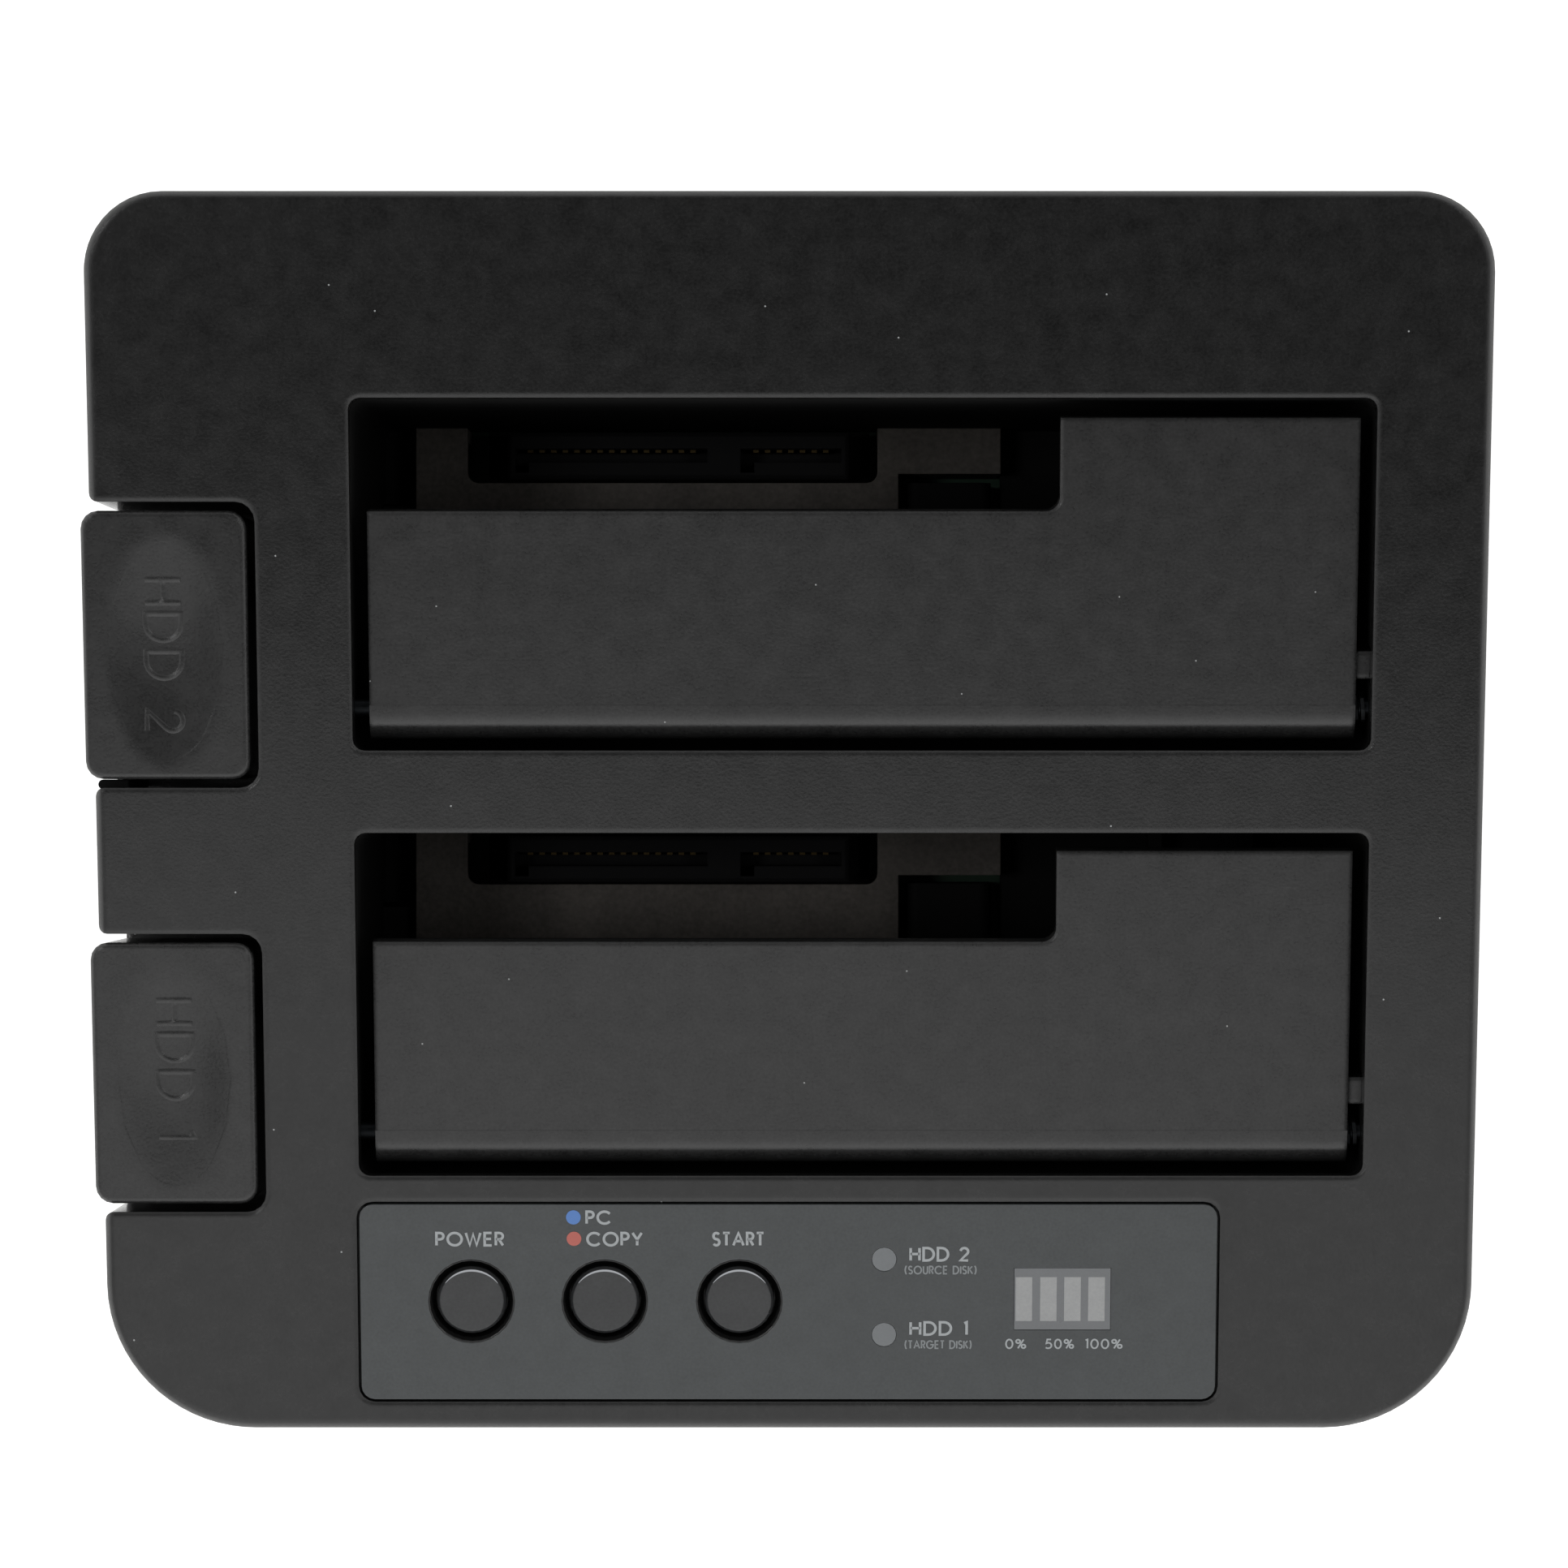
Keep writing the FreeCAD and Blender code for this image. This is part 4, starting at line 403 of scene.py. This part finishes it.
# Strokes of a round sans serif on a cap height of 1, with each letter's width
LETTERS = {
    " ": (0.3, []),
    "A": (0.84, [[(0, 0), (0.42, 1), (0.84, 0)], [(0.15, 0.34), (0.69, 0.34)]]),
    "C": (0.9, [arc(0.5, 0.5, 0.5, 0.5, 40, 320, 16)]),
    "D": (0.74, [[(0.26, 0), (0, 0), (0, 1), (0.26, 1)] + arc(0.26, 0.5, 0.48, 0.5, 90, -90, 12)[1:]]),
    "E": (0.5, [[(0.5, 1), (0, 1), (0, 0), (0.5, 0)], [(0, 0.52), (0.46, 0.52)]]),
    "G": (1.0, [arc(0.5, 0.5, 0.5, 0.5, 40, 360, 18) + [(0.55, 0.5)]]),
    "H": (0.64, [[(0, 0), (0, 1)], [(0.64, 0), (0.64, 1)], [(0, 0.52), (0.64, 0.52)]]),
    "I": (0.0, [[(0, 0), (0, 1)]]),
    "K": (0.58, [[(0, 0), (0, 1)], [(0.54, 1), (0.04, 0.5)], [(0.16, 0.6), (0.58, 0)]]),
    "O": (1.0, [arc(0.5, 0.5, 0.5, 0.5, 0, 360, 24)]),
    "P": (0.5, [[(0, 0), (0, 1), (0.24, 1)] + arc(0.24, 0.74, 0.26, 0.26, 90, -90, 8)[1:] + [(0, 0.48)]]),
    "R": (0.5, [[(0, 0), (0, 1), (0.24, 1)] + arc(0.24, 0.74, 0.26, 0.26, 90, -90, 8)[1:] + [(0, 0.48)],
                [(0.22, 0.48), (0.5, 0)]]),
    "S": (0.5, [arc(0.25, 0.75, 0.24, 0.25, 30, 270, 10) + arc(0.25, 0.25, 0.25, 0.25, 90, -150, 10)[1:]]),
    "T": (0.56, [[(0, 1), (0.56, 1)], [(0.28, 1), (0.28, 0)]]),
    "U": (0.58, [[(0, 1), (0, 0.29)] + arc(0.29, 0.29, 0.29, 0.29, 180, 360, 10)[1:] + [(0.58, 1)]]),
    "W": (1.04, [[(0, 1), (0.28, 0), (0.52, 0.92), (0.76, 0), (1.04, 1)]]),
    "Y": (0.66, [[(0, 1), (0.33, 0.46), (0.66, 1)], [(0.33, 0.46), (0.33, 0)]]),
    "0": (0.56, [arc(0.28, 0.5, 0.28, 0.5, 0, 360, 20)]),
    "1": (0.16, [[(0, 0.92), (0.16, 1), (0.16, 0)]]),
    "2": (0.56, [arc(0.28, 0.72, 0.28, 0.28, 170, -38, 10) + [(0, 0), (0.56, 0)]]),
    "5": (0.52, [[(0.48, 1), (0.14, 1), (0.06, 0.56)] + arc(0.22, 0.32, 0.3, 0.32, 112, -135, 12)[1:]]),
    "%": (0.8, [arc(0.17, 0.78, 0.17, 0.2, 0, 360, 12), arc(0.63, 0.22, 0.17, 0.2, 0, 360, 12),
                [(0.64, 1), (0.16, 0)]]),
    "(": (0.2, [arc(0.5, 0.5, 0.5, 0.75, 130, 230, 6)]),
    ")": (0.2, [arc(-0.3, 0.5, 0.5, 0.75, 50, -50, 6)]),
}
LETTER_GAP = 0.3
LONGEST_MITRE = 1.8


def ribs(points, offsets):
    """Rows of points beside a stroke, one row at each of its points, mitred at its bends."""
    closed = (Vector(points[0]) - Vector(points[-1])).length < 1e-6
    spots = [Vector(p) for p in (points[:-1] if closed else points)]
    rows = []
    for k, spot in enumerate(spots):
        before = spots[k - 1] if k or closed else None
        after = spots[(k + 1) % len(spots)] if k < len(spots) - 1 or closed else None
        ways = [(b - a).normalized() for a, b in ((before, spot), (spot, after)) if a and b]
        normals = [Vector((-way.y, way.x)) for way in ways]
        side = sum(normals, Vector((0, 0))).normalized()
        side /= max(side.dot(normals[0]), 1 / LONGEST_MITRE)
        rows.append([spot + side * offset for offset in offsets])
    return rows + rows[:1] if closed else rows


def lettering(name, words, length, height, stroke, place, material, offsets=(-0.5, 0.5), lifts=(0, 0)):
    """Words as flat or raised strokes, centred, fitted to a length and height; place maps x, y, lift."""
    pen = 0.0
    strokes = []
    for letter in words:
        width, lines = LETTERS[letter]
        strokes += [[(x + pen, y) for x, y in line] for line in lines]
        pen += width + LETTER_GAP
    pen -= LETTER_GAP
    stretch = (length - stroke) / pen
    rise = height - stroke
    across = len(offsets)
    points, faces = [], []
    for line in strokes:
        sized = [((x - pen / 2) * stretch, (y - 0.5) * rise) for x, y in line]
        rows = ribs(sized, [offset * stroke for offset in offsets])
        start = len(points)
        for row in rows:
            points += [place(p.x, p.y, lift) for p, lift in zip(row, lifts)]
        for k in range(len(rows) - 1):
            for j in range(across - 1):
                a = start + k * across + j
                faces.append((a, a + across, a + across + 1, a + 1))
    return form(name, points, faces, material)


RELIEF = 0.0001
RELIEF_FOOT = -0.00002
RELIEF_CAP = 0.0041
RELIEF_STROKE = 0.00045
# Words, length and shift of their middle from the dish's, in metres
for bay, words, length, aside, along in ((1, "HDD 1", 0.0147, 0.0001, 0.0011),
                                         (2, "HDD 2", 0.0158, -0.0002, -0.0004)):

    def in_dish(x, y, lift):
        """Letters read towards the front, their tops to the right."""
        return on_key(f"eject_key_{bay}", aside + y, along - x, FACE_LIFT + lift)

    relief = lettering(f"key_{bay}_relief", words, length, RELIEF_CAP, RELIEF_STROKE, in_dish, key_abs,
                       (-0.7, -0.35, 0.35, 0.7), (RELIEF_FOOT, RELIEF, RELIEF, RELIEF_FOOT))
    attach(relief, f"eject_key_{bay}")

# Eject levers
# Rockers moulded in black acetal, on steel pins in the connector guides. A key's stem presses one end and
# the other lifts the drive; a steel spring lifts the key again.

# Acetal as moulded: smooth and almost without a sheen; black, drawn darker than the case as painted shade of
# the wells
acetal = plastic("black_acetal_painted_shade", "#0b0b0b", 0.75, grain=0.04, gloss=0.15)
dress(acetal, "eject_lever_1", "eject_lever_2")
dress(drawn_steel, "lever_pin_1", "lever_pin_2")
dress(spring_steel, "key_spring_1", "key_spring_2")

# Control panel
# A polycarbonate overlay, set flush in a recess of the case top. Its film is screen-printed in light grey
# ink, with a blue and a red dot.

# Velvet film: an even bluish grey with a soft, wide sheen
panel_film = plastic("velvet_polycarbonate_film", "#3b3e3f", 0.22, grain=0.06, mottle=0.16,
                     edge_mm=0.12)
dress(panel_film, "control_panel")
PANEL_T = 0.001
low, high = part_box("control_panel")
half = (high.y - low.y - PANEL_T * sin(slope)) / 2 / cos(slope)
panel_middle = Vector(((low.x + high.x) / 2, low.y + half * cos(slope), high.z - half * sin(slope)))
INK_LIFT = 0.00003
INK_THIN = 0.86
SCREEN_MM = 0.15


def on_panel(x, y, lift):
    """A point over the film, x and y in millimetres from the frame's origin and its lift in metres."""
    rise = (y / 1000 - panel_middle.y) / cos(slope)
    return Vector((x / 1000, panel_middle.y, panel_middle.z)) + up_slope * rise + out * lift


def ink(name, colour):
    """Screen-printing ink: flat and slightly matt, a little thinner between the threads of the screen."""
    material, tree, output = new_tree(name)
    place = add(tree, "ShaderNodeTexCoord", {})
    screen = add(tree, "ShaderNodeTexNoise", {"Vector": place.outputs["Object"], "Scale": 1000 / SCREEN_MM})
    shade = linear(colour)
    thin = [c * INK_THIN for c in shade[:3]] + [1.0]
    tone = add(tree, "ShaderNodeMix", {"Factor": screen.outputs["Fac"], 6: thin, 7: shade}, data_type="RGBA")
    shader = add(tree, "ShaderNodeBsdfPrincipled", {"Base Color": tone.outputs[2], "Roughness": 0.45})
    tree.links.new(shader.outputs[0], output.inputs["Surface"])
    return material


# Grey ink for the names: crisp and light against the film
grey_ink = ink("light_grey_screen_ink", "#a3a7a9")
# The same ink in hairlines for the small words, which looks dimmer
dim_ink = ink("dim_grey_screen_ink", "#85898b")


def print_words(name, words, x, y, length, height, stroke, colour):
    """Words printed with their middle at x and y, in millimetres from the frame's origin."""

    def on_film(u, v, lift):
        """A point at u and v from the words' middle, in metres along the film."""
        return on_panel(x, y, INK_LIFT + lift) + Vector((u, 0, 0)) + up_slope * v

    legend = lettering(name, words, length / 1000, height / 1000, stroke / 1000, on_film, colour)
    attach(legend, "base")


# Words, middle x and y, length, cap height and stroke, in millimetres
print_words("legend_power", "POWER", -32.73, -43.34, 7.16, 1.6, 0.27, grey_ink)
print_words("legend_pc", "PC", -19.36, -41.07, 2.7, 1.55, 0.27, grey_ink)
print_words("legend_copy", "COPY", -17.69, -43.34, 5.9, 1.6, 0.27, grey_ink)
print_words("legend_start", "START", -4.83, -43.34, 5.48, 1.6, 0.27, grey_ink)
print_words("legend_drive_2", "HDD 2", 16.04, -44.93, 6.24, 1.6, 0.27, grey_ink)
print_words("legend_source", "(SOURCE DISK)", 16.17, -46.6, 7.5, 0.95, 0.15, dim_ink)
print_words("legend_drive_1", "HDD 1", 16.0, -52.78, 6.1, 1.6, 0.27, grey_ink)
print_words("legend_target", "(TARGET DISK)", 15.95, -54.5, 7.0, 0.95, 0.15, dim_ink)
print_words("legend_0", "0%", 24.04, -54.42, 2.2, 1.12, 0.17, grey_ink)
print_words("legend_50", "50%", 28.6, -54.42, 3.05, 1.12, 0.17, grey_ink)
print_words("legend_100", "100%", 33.2, -54.42, 3.95, 1.12, 0.17, grey_ink)
DOT_R = 0.76 / 1000
DOT_STEPS = 32


def print_dot(name, x, y, colour):
    """A round dot printed at x and y, in millimetres from the frame's origin."""
    centre = on_panel(x, y, INK_LIFT)
    turns = [2 * pi * k / DOT_STEPS for k in range(DOT_STEPS)]
    rim = [centre + Vector((DOT_R * cos(turn), 0, 0)) + up_slope * (DOT_R * sin(turn)) for turn in turns]
    dot = form(name, rim, [range(DOT_STEPS)], colour)
    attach(dot, "base")


print_dot("dot_pc", -21.95, -41.05, ink("blue_screen_ink", "#557ebe"))
print_dot("dot_copy", -21.9, -43.3, ink("red_screen_ink", "#b56258"))

# Buttons
# Caps moulded in dark grey ABS, in countersunk rings of glossy black ABS pressed into the panel. A thin
# bright sliver along the back of each cap's top leans inwards and reflects the light as an arc. It is a
# painted highlight, set only where the glint shows.

# Polished ABS: black, with small sharp reflections
gloss_abs = plastic("glossy_black_abs_ring", "#050505", 0.12, grain=0.0, mottle=0.05, edge_mm=0.1)
# Satin ABS: an even soft grey
cap_abs = plastic("satin_dark_grey_cap", "#2c2d2e", 0.22, mottle=0.25, edge_mm=0.15)
dress(gloss_abs, "button_bezels")
dress(cap_abs, "power_button", "mode_button", "start_button")
dress(acetal, "power_plunger", "mode_plunger", "start_plunger")
# Painted highlight: a bright metal sliver with a white glint where it faces the light
painted_highlight_metal = metal("painted_highlight_arc_trim", "#85878a", 0.12)
LIP_REACH = 0.0031
LIP_WIDE = 0.00022
LIP_TAPER = 0.8
LIP_LEAN = radians(9)
LIP_SWEEP = radians(56)
LIP_LIFT = 0.00001
LIP_STEPS = 32
# Each painted highlight sweeps only the back of its cap, where the glint shows
for button in ("power", "mode", "start"):
    low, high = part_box(f"{button}_button")
    middle = (low + high) / 2
    cap_top = max(corner.co.dot(out) for corner in nodes[f"{button}_button"].data.vertices)
    middle += out * (cap_top + LIP_LIFT - middle.dot(out))
    rim = LIP_REACH + LIP_WIDE
    points = []
    for k in range(LIP_STEPS + 1):
        turn = LIP_SWEEP * (2 * k / LIP_STEPS - 1)
        away = Vector((sin(turn), 0, 0)) + up_slope * cos(turn)
        wide = LIP_WIDE * (1 - LIP_TAPER * (turn / LIP_SWEEP) ** 2)
        points += [middle + away * (rim - wide), middle + away * rim + out * (wide * tan(LIP_LEAN))]
    faces = [(2 * k, 2 * k + 2, 2 * k + 3, 2 * k + 1) for k in range(LIP_STEPS)]
    painted_highlight_arc = form(f"{button}_lip", points, faces, painted_highlight_metal, smooth=True)
    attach(painted_highlight_arc, f"{button}_button")

# Panel lights
# Two light pipes and a window moulded in smoky acrylic, pushed into the panel from below and flush with the
# film. Four milky bars show in the window.

# Acrylic with a diffuser: pale grey discs
smoky = plastic("smoky_diffusing_acrylic", "#6d7072", 0.3, grain=0.02, mottle=0.06, edge_mm=0.08)
# Smoky acrylic over a dark space: a slightly darker grey
window_acrylic = plastic("smoky_acrylic_window", "#6a6c6e", 0.28, grain=0.02, mottle=0.06, edge_mm=0.08)
# Milky acrylic: the brightest grey on the panel
bar_acrylic = plastic("milky_acrylic_bar", "#959696", 0.32, grain=0.02, mottle=0.08, edge_mm=0.05)
dress(smoky, "status_light_pipes")
dress(window_acrylic, "level_window")
# Middles of the bars, their front and back ends and half their width, in millimetres
BAR_XS = (24.85, 27.4, 29.9, 32.4)
BAR_FRONT = -52.0
BAR_BACK = -47.35
BAR_HALF = 0.86
BAR_LIFT = 0.00001
for number, x in enumerate(BAR_XS, 1):
    corners = [on_panel(x + side * BAR_HALF, y, BAR_LIFT)
               for side, y in ((-1, BAR_FRONT), (1, BAR_FRONT), (1, BAR_BACK), (-1, BAR_BACK))]
    bar = form(f"level_bar_{number}", corners, [range(4)], bar_acrylic)
    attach(bar, "base")

# Boards
# Glass-epoxy boards under green solder mask, screwed to posts in the case, with moulded chips and aluminium
# cans soldered on. A grey ribbon cable joins them by its off-white plugs.

# Solder mask: green with a dull lacquer's sheen, darkened as painted shade where it shows through the notch
lacquer = plastic("green_solder_mask_painted_shade", "#163d27", 0.4, grain_mm=0.4, grain=0.05, mottle=0.15)
# Moulded epoxy: charcoal, finely matt
epoxy = plastic("black_epoxy_chip", "#1a1b1d", 0.35, grain_mm=0.15)
# Natural nylon: a waxy off-white
nylon = plastic("off_white_nylon", "#d8d4c6", 0.45)
# Hot-tinned sheet: pale silver, softly bright
tinned = metal("tinned_steel", "#b4b6b8", 0.3)
# Bare can: a brighter, cooler silver
foil = metal("aluminium_can_sleeve", "#c3c5c7", 0.3)
dress(lacquer, "main_board", "panel_board")
dress(epoxy, "controller_chips", "panel_switches")
dress(foil, "capacitors")
dress(nylon, "ribbon_sockets", "panel_leds")
# Soft PVC: an even middle grey
dress(plastic("grey_pvc_ribbon", "#8d9195", 0.4), "ribbon_cable")

# Rear panel and ports
# A black ABS plate held between the case shells, with tinned steel port shells and a black power inlet round
# its pin. The ports are soldered to the main board.
dress(base_abs, "rear_panel")
dress(tinned, "usb_port", "esata_port")
dress(socket_nylon, "usb_core", "esata_core", "power_jack")
# Nickel on brass: a warm, clear shine
dress(metal("nickel_plated_brass", "#c9bfa6", 0.25), "power_jack_pin")

# Feet and screws
# Four black rubber discs under the base, and the zinc-plated self-tapping screws that hold the shells, the
# frames and the boards.

# Rubber: a dull, dusty black
rubber = plastic("black_rubber", "#171717", 0.75, grain_mm=0.4, grain=0.2)
# Zinc plating: a dull bluish silver
zinc = metal("zinc_plated_steel", "#8f9297", 0.35)
dress(rubber, "rubber_feet")
dress(zinc, "case_screws", "board_screws", "panel_screws", "frame_screws")
